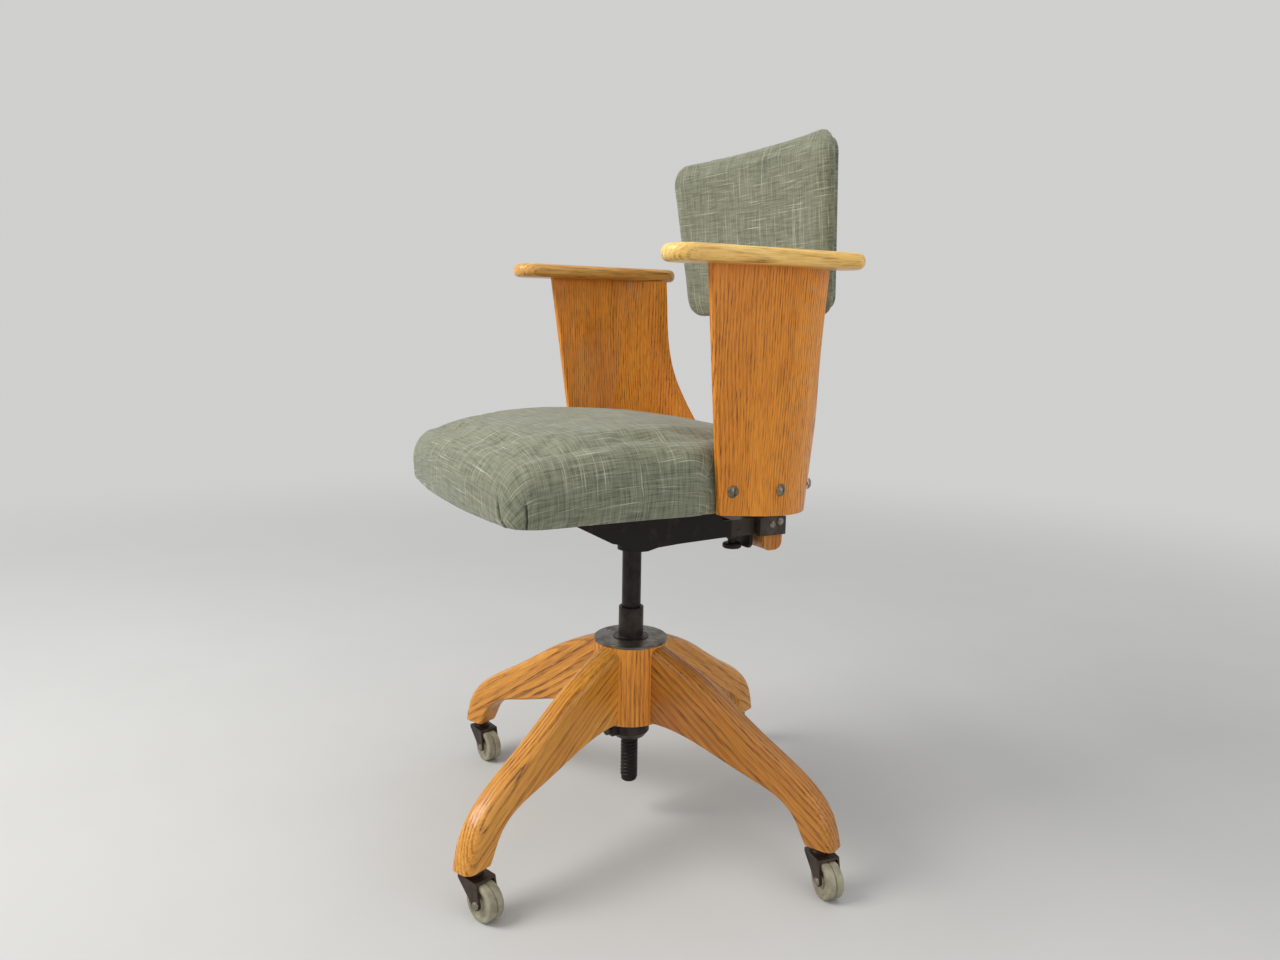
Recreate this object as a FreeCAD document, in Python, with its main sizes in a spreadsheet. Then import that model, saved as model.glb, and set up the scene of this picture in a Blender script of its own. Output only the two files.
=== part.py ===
import FreeCAD, Part
import Sketcher
import math
import os

# A four-legged oak swivel chair with an upholstered seat between two bent plywood
# side panels, paddle arms and a separate tilting back pad on a sliding post.
# The frame is +Z up, the chair faces -Y, and the origin is on the floor under the spindle.

doc = FreeCAD.newDocument("SwivelChair")
sheet = doc.addObject("Spreadsheet::Sheet", "Sizes")

values = {
    # clearances
    "fitGap": 0.05,
    "looseGap": 0.3,
    # hub of the base
    "hubRadius": 48.5,
    "hubBottom": 141.5,
    "hubTop": 245.5,
    "hubChamfer": 1.5,
    # legs
    "legTurn": 25.2,
    "legThickness": 32.0,
    "legTuck": 6.0,
    "legTip": 305.5,
    "legFootWidth": 36.0,
    "legFoot": 56.0,
    "legStep": 1.5,
    "legTopRound": 10.5,
    "legLowRound": 4.0,
    "legDowelRadius": 5.0,
    "legDowelStart": 28.0,
    "legDowelLength": 46.0,
    "legDowelHigh": 208.0,
    "legDowelLow": 166.0,
    # round plate on the hub and its screws
    "plateRadius": 48.2,
    "plateThickness": 3.5,
    "plateEdge": 0.7,
    "plateScrewCircle": 39.0,
    "plateScrewHead": 4.4,
    "plateScrewRadius": 2.0,
    "plateScrewLength": 24.0,
    "plateSlotWidth": 1.2,
    "plateSlotDepth": 0.9,
    # guide sleeve, thrust washer and spindle nut
    "sleeveRadius": 16.25,
    "sleeveTop": 290.0,
    "sleeveFootRadius": 23.2,
    "sleeveFootHeight": 2.2,
    "sleeveBodyRadius": 15.0,
    "sleeveBottom": 130.0,
    "sleeveChamfer": 0.9,
    "washerThickness": 2.0,
    "nutRadius": 26.0,
    "nutBottom": 113.0,
    "nutTaperRadius": 20.5,
    "nutTaperTop": 120.0,
    "nutLugReach": 35.0,
    "nutLugWidth": 15.0,
    "nutLugHeight": 15.0,
    "nutLugTurn": -78.0,
    "lockScrewRadius": 3.5,
    "lockScrewHead": 6.5,
    "lockScrewHeadHeight": 5.0,
    "lockScrewTip": 17.5,
    # spindle
    "spindleRadius": 12.4,
    "spindleTop": 402.0,
    "spindleBottom": 48.0,
    "threadTop": 176.0,
    "threadCore": 10.3,
    "threadCrest": 11.5,
    "threadPitch": 5.0,
    # casters
    "casterInset": 22.5,
    "stemRadius": 4.5,
    "stemTop": 80.0,
    "socketRadius": 6.0,
    "socketTop": 84.0,
    "socketFlangeRadius": 11.8,
    "socketFlange": 2.0,
    "stemRingRadius": 11.0,
    "stemRingStep": 1.6,
    "forkTop": 47.5,
    "forkPlate": 2.5,
    "forkWidth": 27.6,
    "forkInner": 22.6,
    "casterTrail": 20.0,
    "casterTurnOne": -8.0,
    "casterTurnTwo": 240.0,
    "casterTurnThree": 10.0,
    "casterTurnFour": 20.0,
    "wheelRadius": 21.5,
    "wheelWidth": 20.4,
    "wheelHubRadius": 7.0,
    "wheelRimInner": 15.0,
    "wheelRecess": 2.2,
    "wheelGroove": 1.8,
    "axleRadius": 3.0,
    "axleHead": 4.8,
    "axleDome": 2.4,
    # seat bearer under the seat
    "bearerWidth": 40.0,
    "bearerWall": 3.0,
    "bearerFront": -165.0,
    "bearerNose": 76.0,
    "bearerNoseDrop": 39.0,
    "bearerRear": 140.0,
    "bearerRearTop": 396.0,
    "bearerLowest": 365.5,
    "armUnder": 373.0,
    "bearerPlateWidth": 130.0,
    "bearerPlateFront": -160.0,
    "bearerPlateRear": 100.0,
    "bearerPlateThickness": 3.0,
    "bearerBoss": 19.0,
    "bearerBoltX": 52.0,
    "bearerBoltFront": -125.0,
    "bearerBoltRear": 70.0,
    "bearerBoltRadius": 3.0,
    "bearerBoltHead": 5.6,
    "bearerBoltHeadHeight": 4.0,
    "bearerBoltLength": 12.0,
    # guide box, sliding arm, clamp knob
    "guideEnd": 181.0,
    "armStart": 62.0,
    "webFront": 184.5,
    "webThickness": 2.5,
    "finFront": 170.0,
    "finThickness": 5.0,
    "finBottom": 354.0,
    "finCorner": 5.0,
    "knobY": 154.5,
    "knobRadius": 13.0,
    "knobBottom": 353.0,
    "knobHeight": 7.0,
    "knobNeck": 6.0,
    "knobStem": 4.0,
    "bossTopRadius": 12.0,
    "bossLowRadius": 7.5,
    "bossHeight": 7.0,
    # end bracket and back post
    "postHalf": 26.0,
    "postDepth": 32.0,
    "postBottom": 350.0,
    "bracketOuter": 34.0,
    "bracketEarInner": 24.5,
    "bracketEarFront": 177.0,
    "bracketTop": 398.0,
    "bracketBoltRadius": 3.0,
    "bracketBoltHead": 5.2,
    "bracketBoltDome": 2.6,
    "boltFrontY": 197.0,
    "boltFrontZ": 388.0,
    "boltRearY": 209.5,
    "boltRearZ": 391.0,
    "postStraight": 444.0,
    "postUpperFront": 221.0,
    "postUpperDepth": 24.0,
    "postUpperStart": 650.0,
    "postCorner": 12.0,
    # seat board, frame and cushion
    "seatBottom": 446.0,
    "boardThickness": 12.0,
    "frameHeight": 30.0,
    "frameWidth": 20.0,
    "coverThickness": 3.0,
    "seatHalf": 198.0,
    "seatFront": -252.0,
    "seatCorner": 34.0,
    "seatBow": 12.0,
    "seatRear": 182.0,
    "seatCrown": 535.0,
    "seatShoulder": 522.0,
    "seatRearHeight": 499.0,
    "seatFrontHeight": 512.0,
    "seatEdgeRound": 12.0,
    "seatNeckStart": -34.0,
    "seatNeckEnd": -4.0,
    # side panels
    "panelTop": 716.5,
    "panelThickness": 9.5,
    "panelSideLow": 199.0,
    "panelSideHigh": 216.0,
    "panelRadius": 150.0,
    "panelBendLow": 48.3,
    "panelBendHigh": 64.3,
    "panelFrontLow": 5.0,
    "panelFrontHigh": -25.0,
    "panelEdgeRound": 2.5,
    "panelRearLow": 67.0,
    "panelRearHigh": 189.0,
    "panelFall": 5.5,
    "panelScrewFront": 20.0,
    "panelScrewHeight": 472.0,
    "panelScrewDropTwo": 3.5,
    "panelScrewDropThree": 8.0,
    "panelScrewHead": 6.0,
    "panelScrewDome": 2.2,
    "panelCupRadius": 7.2,
    "panelCupHeight": 1.6,
    "panelScrewRadius": 2.2,
    "panelScrewLength": 26.0,
    # arms
    "armCentre": 213.0,
    "armFrontRadius": 28.5,
    "armRearRadius": 24.0,
    "armFront": -79.5,
    "armRear": 173.5,
    "armThickness": 18.0,
    "armRound": 8.0,
    "armDowelRadius": 3.0,
    "armDowelDrop": 18.0,
    "armDowelRise": 12.0,
    # back pad
    "padEdgeY": 154.5,
    "padMidZ": 771.0,
    "padLean": 5.2,
    "padHalfHeight": 108.0,
    "padHalfTop": 177.0,
    "padHalfBottom": 158.0,
    "padSag": 22.0,
    "padChord": 167.0,
    "padThickness": 18.0,
    "padCorner": 28.0,
    "padRound": 7.0,
    "padBoard": 7.0,
    "padBoardInset": 10.0,
    "pivotBack": 76.0,
    "pivotDrop": 30.0,
    "pivotPlateHalf": 22.0,
    "pivotPlate": 3.0,
    "pivotEar": 3.2,
    "pivotEarRadius": 10.0,
    "pivotPin": 5.0,
    "pivotPinHead": 8.0,
    "padScrewRadius": 2.0,
    "padScrewHead": 3.8,
    "padScrewLength": 7.0,
}

row = 0
for name, number in values.items():
    row += 1
    sheet.set("A%d" % row, name)
    sheet.set("B%d" % row, str(number))
    sheet.setAlias("B%d" % row, name)
doc.recompute()


class Size:
    # a length or angle that carries both its number and the sheet expression behind it
    def __init__(self, number, text):
        self.number = number
        self.text = text

    def __add__(self, other):
        other = as_size(other)
        return Size(self.number + other.number, "(%s + %s)" % (self.text, other.text))

    def __radd__(self, other):
        return as_size(other) + self

    def __sub__(self, other):
        other = as_size(other)
        return Size(self.number - other.number, "(%s - %s)" % (self.text, other.text))

    def __rsub__(self, other):
        return as_size(other) - self

    def __mul__(self, other):
        other = as_size(other)
        return Size(self.number * other.number, "(%s * %s)" % (self.text, other.text))

    def __rmul__(self, other):
        return as_size(other) * self

    def __truediv__(self, other):
        other = as_size(other)
        return Size(self.number / other.number, "(%s / %s)" % (self.text, other.text))

    def __neg__(self):
        return as_size(0) - self


def as_size(item):
    if isinstance(item, Size):
        return item
    return Size(float(item), "(%r)" % float(item))


def sine(angle):
    return Size(math.sin(math.radians(angle.number)), "sin(%s)" % angle.text)


def cosine(angle):
    return Size(math.cos(math.radians(angle.number)), "cos(%s)" % angle.text)


class Sheet:
    pass


s = Sheet()
for name in values:
    setattr(s, name, Size(float(getattr(sheet, name)), "Sizes.%s" % name))

ORIGIN = FreeCAD.Vector(0, 0, 0)
ALONG_X = FreeCAD.Rotation(FreeCAD.Vector(0, 1, 0), 90)
ALONG_Y = FreeCAD.Rotation(FreeCAD.Vector(1, 0, 0), -90)
UPRIGHT = FreeCAD.Rotation()
pieces = {}


def vec(x, y, z):
    return FreeCAD.Vector(as_size(x).number, as_size(y).number, as_size(z).number)


def bind(thing, prop, size):
    thing.setExpression(prop, as_size(size).text)


def put(thing, x, y, z, rotation=UPRIGHT):
    thing.Placement = FreeCAD.Placement(vec(x, y, z), rotation)
    bind(thing, "Placement.Base.x", x)
    bind(thing, "Placement.Base.y", y)
    bind(thing, "Placement.Base.z", z)
    return thing


def keep(node, thing):
    thing.Label = node
    pieces[node] = thing
    return thing


def cylinder(name, radius, height, x, y, z, rotation=UPRIGHT):
    thing = doc.addObject("Part::Cylinder", name)
    bind(thing, "Radius", radius)
    bind(thing, "Height", height)
    return put(thing, x, y, z, rotation)


def cone(name, low, high, height, x, y, z, rotation=UPRIGHT):
    thing = doc.addObject("Part::Cone", name)
    bind(thing, "Radius1", low)
    bind(thing, "Radius2", high)
    bind(thing, "Height", height)
    return put(thing, x, y, z, rotation)


def box(name, length, width, height, x, y, z, rotation=UPRIGHT):
    thing = doc.addObject("Part::Box", name)
    bind(thing, "Length", length)
    bind(thing, "Width", width)
    bind(thing, "Height", height)
    return put(thing, x, y, z, rotation)


def cut(name, base, tool):
    thing = doc.addObject("Part::Cut", name)
    thing.Base = base
    thing.Tool = tool
    return thing


def fuse(name, items):
    thing = doc.addObject("Part::MultiFuse", name)
    thing.Shapes = items
    thing.Refine = True
    return thing


def group(name, items):
    thing = doc.addObject("Part::Compound", name)
    thing.Links = items
    return thing


def free_shape(name, shape):
    thing = doc.addObject("Part::Feature", name)
    thing.Shape = shape
    return thing


def new_body(name):
    return doc.addObject("PartDesign::Body", name)


def origin_plane(body, role):
    for feature in body.Origin.OriginFeatures:
        if feature.Role == role:
            return feature
    raise ValueError(role)


def attach(body, name, role, lift=None):
    sketch = body.newObject("Sketcher::SketchObject", name)
    sketch.AttachmentSupport = [(origin_plane(body, role), "")]
    sketch.MapMode = "FlatFace"
    if lift is not None:
        bind(sketch, "AttachmentOffset.Base.z", lift)
    return sketch


def pin_point(sketch, index, end, u, v):
    for kind, size in (("DistanceX", u), ("DistanceY", v)):
        size = as_size(size)
        mark = sketch.addConstraint(Sketcher.Constraint(kind, -1, 1, index, end, size.number))
        sketch.setExpression("Constraints[%d]" % mark, size.text)


def outline(body, name, role, points, lift=None):
    # a closed outline of straight lines, each corner held by two bound distances
    sketch = attach(body, name, role, lift)
    count = len(points)
    for i in range(count):
        a = points[i]
        b = points[(i + 1) % count]
        sketch.addGeometry(Part.LineSegment(vec(a[0], a[1], 0), vec(b[0], b[1], 0)))
    for i in range(count):
        sketch.addConstraint(Sketcher.Constraint("Coincident", i, 2, (i + 1) % count, 1))
    for i in range(count):
        pin_point(sketch, i, 1, points[i][0], points[i][1])
    return sketch


def turned(name, points):
    # a solid of revolution about its own Z axis, from (radius, height) points
    body = new_body(name)
    sketch = outline(body, name + "Section", "XZ_Plane", points)
    turn = body.newObject("PartDesign::Revolution", name + "Turn")
    turn.Profile = sketch
    turn.ReferenceAxis = (sketch, ["V_Axis"])
    turn.Angle = 360
    return body


def padded(name, role, points, thickness, symmetric=True, lift=None):
    body = new_body(name)
    sketch = outline(body, name + "Outline", role, points, lift)
    pad = body.newObject("PartDesign::Pad", name + "Pad")
    pad.Profile = sketch
    pad.SideType = "Symmetric" if symmetric else "One side"
    bind(pad, "Length", thickness)
    return body, pad


def round_edges(body, name, feature, radius, wanted):
    # rounds the edges of one feature for which wanted(edge) is true
    doc.recompute()
    names = []
    for i, edge in enumerate(feature.Shape.Edges):
        if wanted(edge):
            names.append("Edge%d" % (i + 1))
    rounding = body.newObject("PartDesign::Fillet", name)
    rounding.Base = (feature, names)
    bind(rounding, "Radius", radius)
    return rounding


def middle(edge):
    return edge.valueAt((edge.FirstParameter + edge.LastParameter) / 2)


def turn_about_z(angle):
    return FreeCAD.Rotation(FreeCAD.Vector(0, 0, 1), as_size(angle).number)


def leg_angle(index):
    return s.legTurn + 90.0 * index


# base: hub, legs and their dowels

LEG_TOP = [(0.214, 0.883), (0.335, 0.798), (0.481, 0.673), (0.633, 0.546), (0.758, 0.449),
           (0.848, 0.366), (0.914, 0.282), (0.961, 0.184), (0.992, 0.051)]
LEG_UNDER = [(0.209, 0.977), (0.444, 0.828), (0.660, 0.670), (0.80, 0.566), (0.885, 0.445),
             (0.945, 0.270), (0.985, 0.069)]
foot_inner = s.legTip - s.legFootWidth
caster_circle = s.legTip - s.casterInset


def leg_body(name):
    # side profile of a leg in its own XZ plane, from inside the hub out to the foot
    body = new_body(name)
    sketch = attach(body, name + "Side", "XZ_Plane")
    start = s.hubRadius - s.legTuck
    top = [vec(start, s.hubTop, 0)]
    for u, w in LEG_TOP:
        top.append(vec(start + (s.legTip - start) * u, s.legFoot + (s.hubTop - s.legFoot) * w, 0))
    top.append(vec(s.legTip, s.legFoot, 0))
    low_z = s.hubBottom + s.legStep
    under = [vec(start, low_z, 0)]
    for u, w in LEG_UNDER:
        under.append(vec(start + (foot_inner - start) * u, s.legFoot + (low_z - s.legFoot) * w, 0))
    under.append(vec(foot_inner, s.legFoot, 0))
    top_curve = Part.BSplineCurve()
    top_curve.interpolate(top)
    under_curve = Part.BSplineCurve()
    under_curve.interpolate(under)
    sketch.addGeometry(top_curve)
    sketch.addGeometry(Part.LineSegment(top[-1], under[-1]))
    sketch.addGeometry(under_curve)
    sketch.addGeometry(Part.LineSegment(under[0], top[0]))
    sketch.addConstraint(Sketcher.Constraint("Coincident", 0, 2, 1, 1))
    sketch.addConstraint(Sketcher.Constraint("Coincident", 1, 2, 2, 2))
    sketch.addConstraint(Sketcher.Constraint("Coincident", 2, 1, 3, 1))
    sketch.addConstraint(Sketcher.Constraint("Coincident", 3, 2, 0, 1))
    pin_point(sketch, 0, 1, start, s.hubTop)
    pin_point(sketch, 0, 2, s.legTip, s.legFoot)
    pin_point(sketch, 2, 1, start, low_z)
    pin_point(sketch, 2, 2, foot_inner, s.legFoot)
    pad = body.newObject("PartDesign::Pad", name + "Pad")
    pad.Profile = sketch
    pad.SideType = "Symmetric"
    bind(pad, "Length", s.legThickness)
    side = s.legThickness.number / 2

    def on_side(edge):
        return all(abs(abs(v.Y) - side) < 0.01 for v in edge.Vertexes)

    long_run = (foot_inner - s.hubRadius).number * 0.7

    def is_top(edge):
        return on_side(edge) and edge.Length > long_run and middle(edge).z > s.hubBottom.number

    def is_low(edge):
        return on_side(edge) and edge.Length > long_run and middle(edge).z < s.hubBottom.number

    first = round_edges(body, name + "TopRound", pad, s.legTopRound, is_top)
    round_edges(body, name + "LowRound", first, s.legLowRound, is_low)
    return body


def dowel_set(name, index, extra):
    # two glued dowels between the hub and one leg, or the holes for them
    angle = leg_angle(index)
    turn = turn_about_z(angle).multiply(ALONG_X)
    items = []
    start = s.legDowelStart - extra
    for level, height in enumerate((s.legDowelLow, s.legDowelHigh)):
        items.append(cylinder("%s%d%d" % (name, index, level), s.legDowelRadius + extra,
                              s.legDowelLength + extra * 2, start * cosine(angle),
                              start * sine(angle), height, turn))
    return items


def caster_place(thing, index, x, y, z, turn=UPRIGHT):
    # puts something at the caster of one leg, given its place in the leg's own directions
    angle = leg_angle(index)
    reach = caster_circle + x
    px = reach * cosine(angle) - as_size(y) * sine(angle)
    py = reach * sine(angle) + as_size(y) * cosine(angle)
    return put(thing, px, py, z, turn_about_z(angle).multiply(turn))


def screw_tool(name, index, extra):
    # a countersunk plate screw, or the hole for it when extra is more than zero
    angle = leg_angle(index)
    x = s.plateScrewCircle * cosine(angle)
    y = s.plateScrewCircle * sine(angle)
    top = s.hubTop + s.plateThickness
    depth = s.plateScrewHead - s.plateScrewRadius
    head = cone("%sHead%d" % (name, index), s.plateScrewRadius + extra, s.plateScrewHead + extra,
                depth, x, y, top - depth)
    shank = cylinder("%sShank%d" % (name, index), s.plateScrewRadius + extra,
                     s.plateScrewLength + extra, x, y, top - s.plateScrewLength - extra)
    return fuse("%s%d" % (name, index), [head, shank])


hub_core = turned("HubCore", [
    (s.sleeveBodyRadius + s.fitGap, s.hubBottom),
    (s.hubRadius - s.hubChamfer, s.hubBottom),
    (s.hubRadius, s.hubBottom + s.hubChamfer),
    (s.hubRadius, s.hubTop),
    (s.sleeveBodyRadius + s.fitGap, s.hubTop),
])
dowels = []
dowel_holes = []
plate_screws = []
plate_screw_holes = []
for index in range(4):
    dowels += dowel_set("Dowel", index, as_size(0))
    dowel_holes += dowel_set("DowelHole", index, s.fitGap)
    plate_screws.append(screw_tool("PlateScrew", index, as_size(0)))
    plate_screw_holes.append(screw_tool("PlateScrewHole", index, s.fitGap))
hub_holes = fuse("HubHoles", dowel_holes + plate_screw_holes)
keep("hub", cut("HubCut", hub_core, hub_holes))
keep("leg_dowels", group("LegDowels", dowels))

hub_space = cylinder("HubSpace", s.hubRadius, s.hubTop + s.hubRadius, 0, 0, 0)
for index in range(4):
    leg = leg_body("Leg%d" % index)
    leg.Placement = FreeCAD.Placement(ORIGIN, turn_about_z(leg_angle(index)))
    bind(leg, "Placement.Rotation.Angle", leg_angle(index))
    bore = cylinder("SocketBore%d" % index, s.socketRadius + s.fitGap,
                    s.socketTop - s.legFoot + s.looseGap + 1.0, 0, 0, 0)
    caster_place(bore, index, 0, 0, s.legFoot - 1.0)
    tools = fuse("LegTools%d" % index, [hub_space, bore] + dowel_holes[index * 2:index * 2 + 2])
    keep("leg_%d" % (index + 1), cut("LegCut%d" % index, leg, tools))

# plate on the hub, washer, sleeve, nut and spindle

plate = turned("Plate", [
    (s.sleeveFootRadius + s.looseGap, s.hubTop),
    (s.plateRadius, s.hubTop),
    (s.plateRadius, s.hubTop + s.plateThickness - s.plateEdge),
    (s.plateRadius - s.plateEdge, s.hubTop + s.plateThickness),
    (s.sleeveFootRadius + s.looseGap, s.hubTop + s.plateThickness),
])
keep("hub_plate", cut("PlateCut", plate, fuse("PlateHoles", plate_screw_holes)))
slotted = []
for index in range(4):
    angle = leg_angle(index)
    slot = box("PlateSlot%d" % index, s.plateScrewHead * 4, s.plateSlotWidth, s.plateSlotDepth * 2,
               0, 0, 0)
    half_x = s.plateScrewHead * 2
    half_y = s.plateSlotWidth / 2
    turn = angle + 35.0 * (index + 1)
    cx = s.plateScrewCircle * cosine(angle) - half_x * cosine(turn) + half_y * sine(turn)
    cy = s.plateScrewCircle * sine(angle) - half_x * sine(turn) - half_y * cosine(turn)
    put(slot, cx, cy, s.hubTop + s.plateThickness - s.plateSlotDepth, turn_about_z(turn))
    slotted.append(cut("PlateScrewSlotted%d" % index, plate_screws[index], slot))
keep("plate_screws", group("PlateScrews", slotted))

washer_low = s.hubTop + s.fitGap
washer_high = s.hubTop + s.washerThickness
keep("thrust_washer", turned("Washer", [
    (s.sleeveBodyRadius + s.looseGap, washer_low),
    (s.sleeveFootRadius, washer_low),
    (s.sleeveFootRadius, washer_high),
    (s.sleeveBodyRadius + s.looseGap, washer_high),
]))
foot_low = washer_high + s.fitGap
foot_high = foot_low + s.sleeveFootHeight
bore_radius = s.spindleRadius + s.fitGap
keep("guide_sleeve", turned("Sleeve", [
    (bore_radius, s.sleeveBottom),
    (s.sleeveBodyRadius, s.sleeveBottom),
    (s.sleeveBodyRadius, foot_low),
    (s.sleeveFootRadius, foot_low),
    (s.sleeveFootRadius, foot_high),
    (s.sleeveRadius + s.sleeveChamfer * 2, foot_high),
    (s.sleeveRadius, foot_high + s.sleeveChamfer * 2),
    (s.sleeveRadius, s.sleeveTop - s.sleeveChamfer),
    (s.sleeveRadius - s.sleeveChamfer, s.sleeveTop),
    (bore_radius + s.sleeveChamfer, s.sleeveTop),
    (bore_radius, s.sleeveTop - s.sleeveChamfer),
]))
nut_top = s.hubBottom - s.looseGap
nut_core = turned("NutCore", [
    (s.threadCrest + s.fitGap, s.nutBottom),
    (s.nutTaperRadius, s.nutBottom),
    (s.nutRadius, s.nutTaperTop),
    (s.nutRadius, nut_top),
    (s.sleeveBodyRadius + s.fitGap, nut_top),
    (s.sleeveBodyRadius + s.fitGap, s.sleeveBottom - s.fitGap),
    (s.threadCrest + s.fitGap, s.sleeveBottom - s.fitGap),
])
lug_turn = turn_about_z(s.nutLugTurn)
lug_mid = s.nutTaperTop + s.nutLugHeight / 2
lug_start = s.sleeveBodyRadius + s.fitGap + 2.0
lug = box("NutLug", s.nutLugReach - lug_start, s.nutLugWidth, s.nutLugHeight, 0, 0, 0)
put(lug, lug_start * cosine(s.nutLugTurn) + s.nutLugWidth / 2 * sine(s.nutLugTurn),
    lug_start * sine(s.nutLugTurn) - s.nutLugWidth / 2 * cosine(s.nutLugTurn),
    s.nutTaperTop, lug_turn)


def lock_screw(name, extra, head):
    turn = lug_turn.multiply(ALONG_X)
    tip = s.lockScrewTip - extra
    shank = cylinder(name + "Shank", s.lockScrewRadius + extra, s.nutLugReach - tip + extra,
                     tip * cosine(s.nutLugTurn), tip * sine(s.nutLugTurn), lug_mid, turn)
    if not head:
        return shank
    cap = cylinder(name + "Cap", s.lockScrewHead, s.lockScrewHeadHeight,
                   s.nutLugReach * cosine(s.nutLugTurn), s.nutLugReach * sine(s.nutLugTurn),
                   lug_mid, turn)
    return fuse(name, [shank, cap])


nut_block = fuse("NutBlock", [nut_core, lug])
keep("spindle_nut", cut("NutCut", nut_block, lock_screw("LockHole", s.fitGap, False)))
keep("nut_lock_screw", lock_screw("LockScrew", as_size(0), True))

spindle = turned("Spindle", [
    (as_size(0), s.spindleBottom),
    (s.threadCore - 1.5, s.spindleBottom),
    (s.threadCore, s.spindleBottom + 1.5),
    (s.threadCore, s.threadTop),
    (s.spindleRadius - 0.8, s.threadTop),
    (s.spindleRadius, s.threadTop + 0.8),
    (s.spindleRadius, s.spindleTop),
    (as_size(0), s.spindleTop),
])
thread_root = s.threadPitch * 0.36
thread_tip = s.threadPitch * 0.12
thread_start = s.spindleBottom + s.threadPitch
ridge = outline(spindle, "ThreadSection", "XZ_Plane", [
    (s.threadCore - 0.3, thread_start - thread_root),
    (s.threadCrest, thread_start - thread_tip),
    (s.threadCrest, thread_start + thread_tip),
    (s.threadCore - 0.3, thread_start + thread_root),
])
thread = spindle.newObject("PartDesign::AdditiveHelix", "Thread")
thread.Profile = ridge
thread.ReferenceAxis = (ridge, ["V_Axis"])
thread.Mode = 0
bind(thread, "Pitch", s.threadPitch)
bind(thread, "Height", s.threadTop - thread_start - s.threadPitch)
keep("spindle", spindle)

# casters: socket, swivelling fork, axle and wheel at each leg

caster_turns = [s.casterTurnOne, s.casterTurnTwo, s.casterTurnThree, s.casterTurnFour]
wheel_half = s.wheelWidth / 2
stem_holes = []


def caster_put(thing, index, x, z, turn=UPRIGHT):
    # x is measured from the swivel axis along the caster's own trailing direction
    angle = leg_angle(index)
    heading = caster_turns[index]
    px = caster_circle * cosine(angle) + as_size(x) * cosine(heading)
    py = caster_circle * sine(angle) + as_size(x) * sine(heading)
    return put(thing, px, py, z, turn_about_z(heading).multiply(turn))


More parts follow.
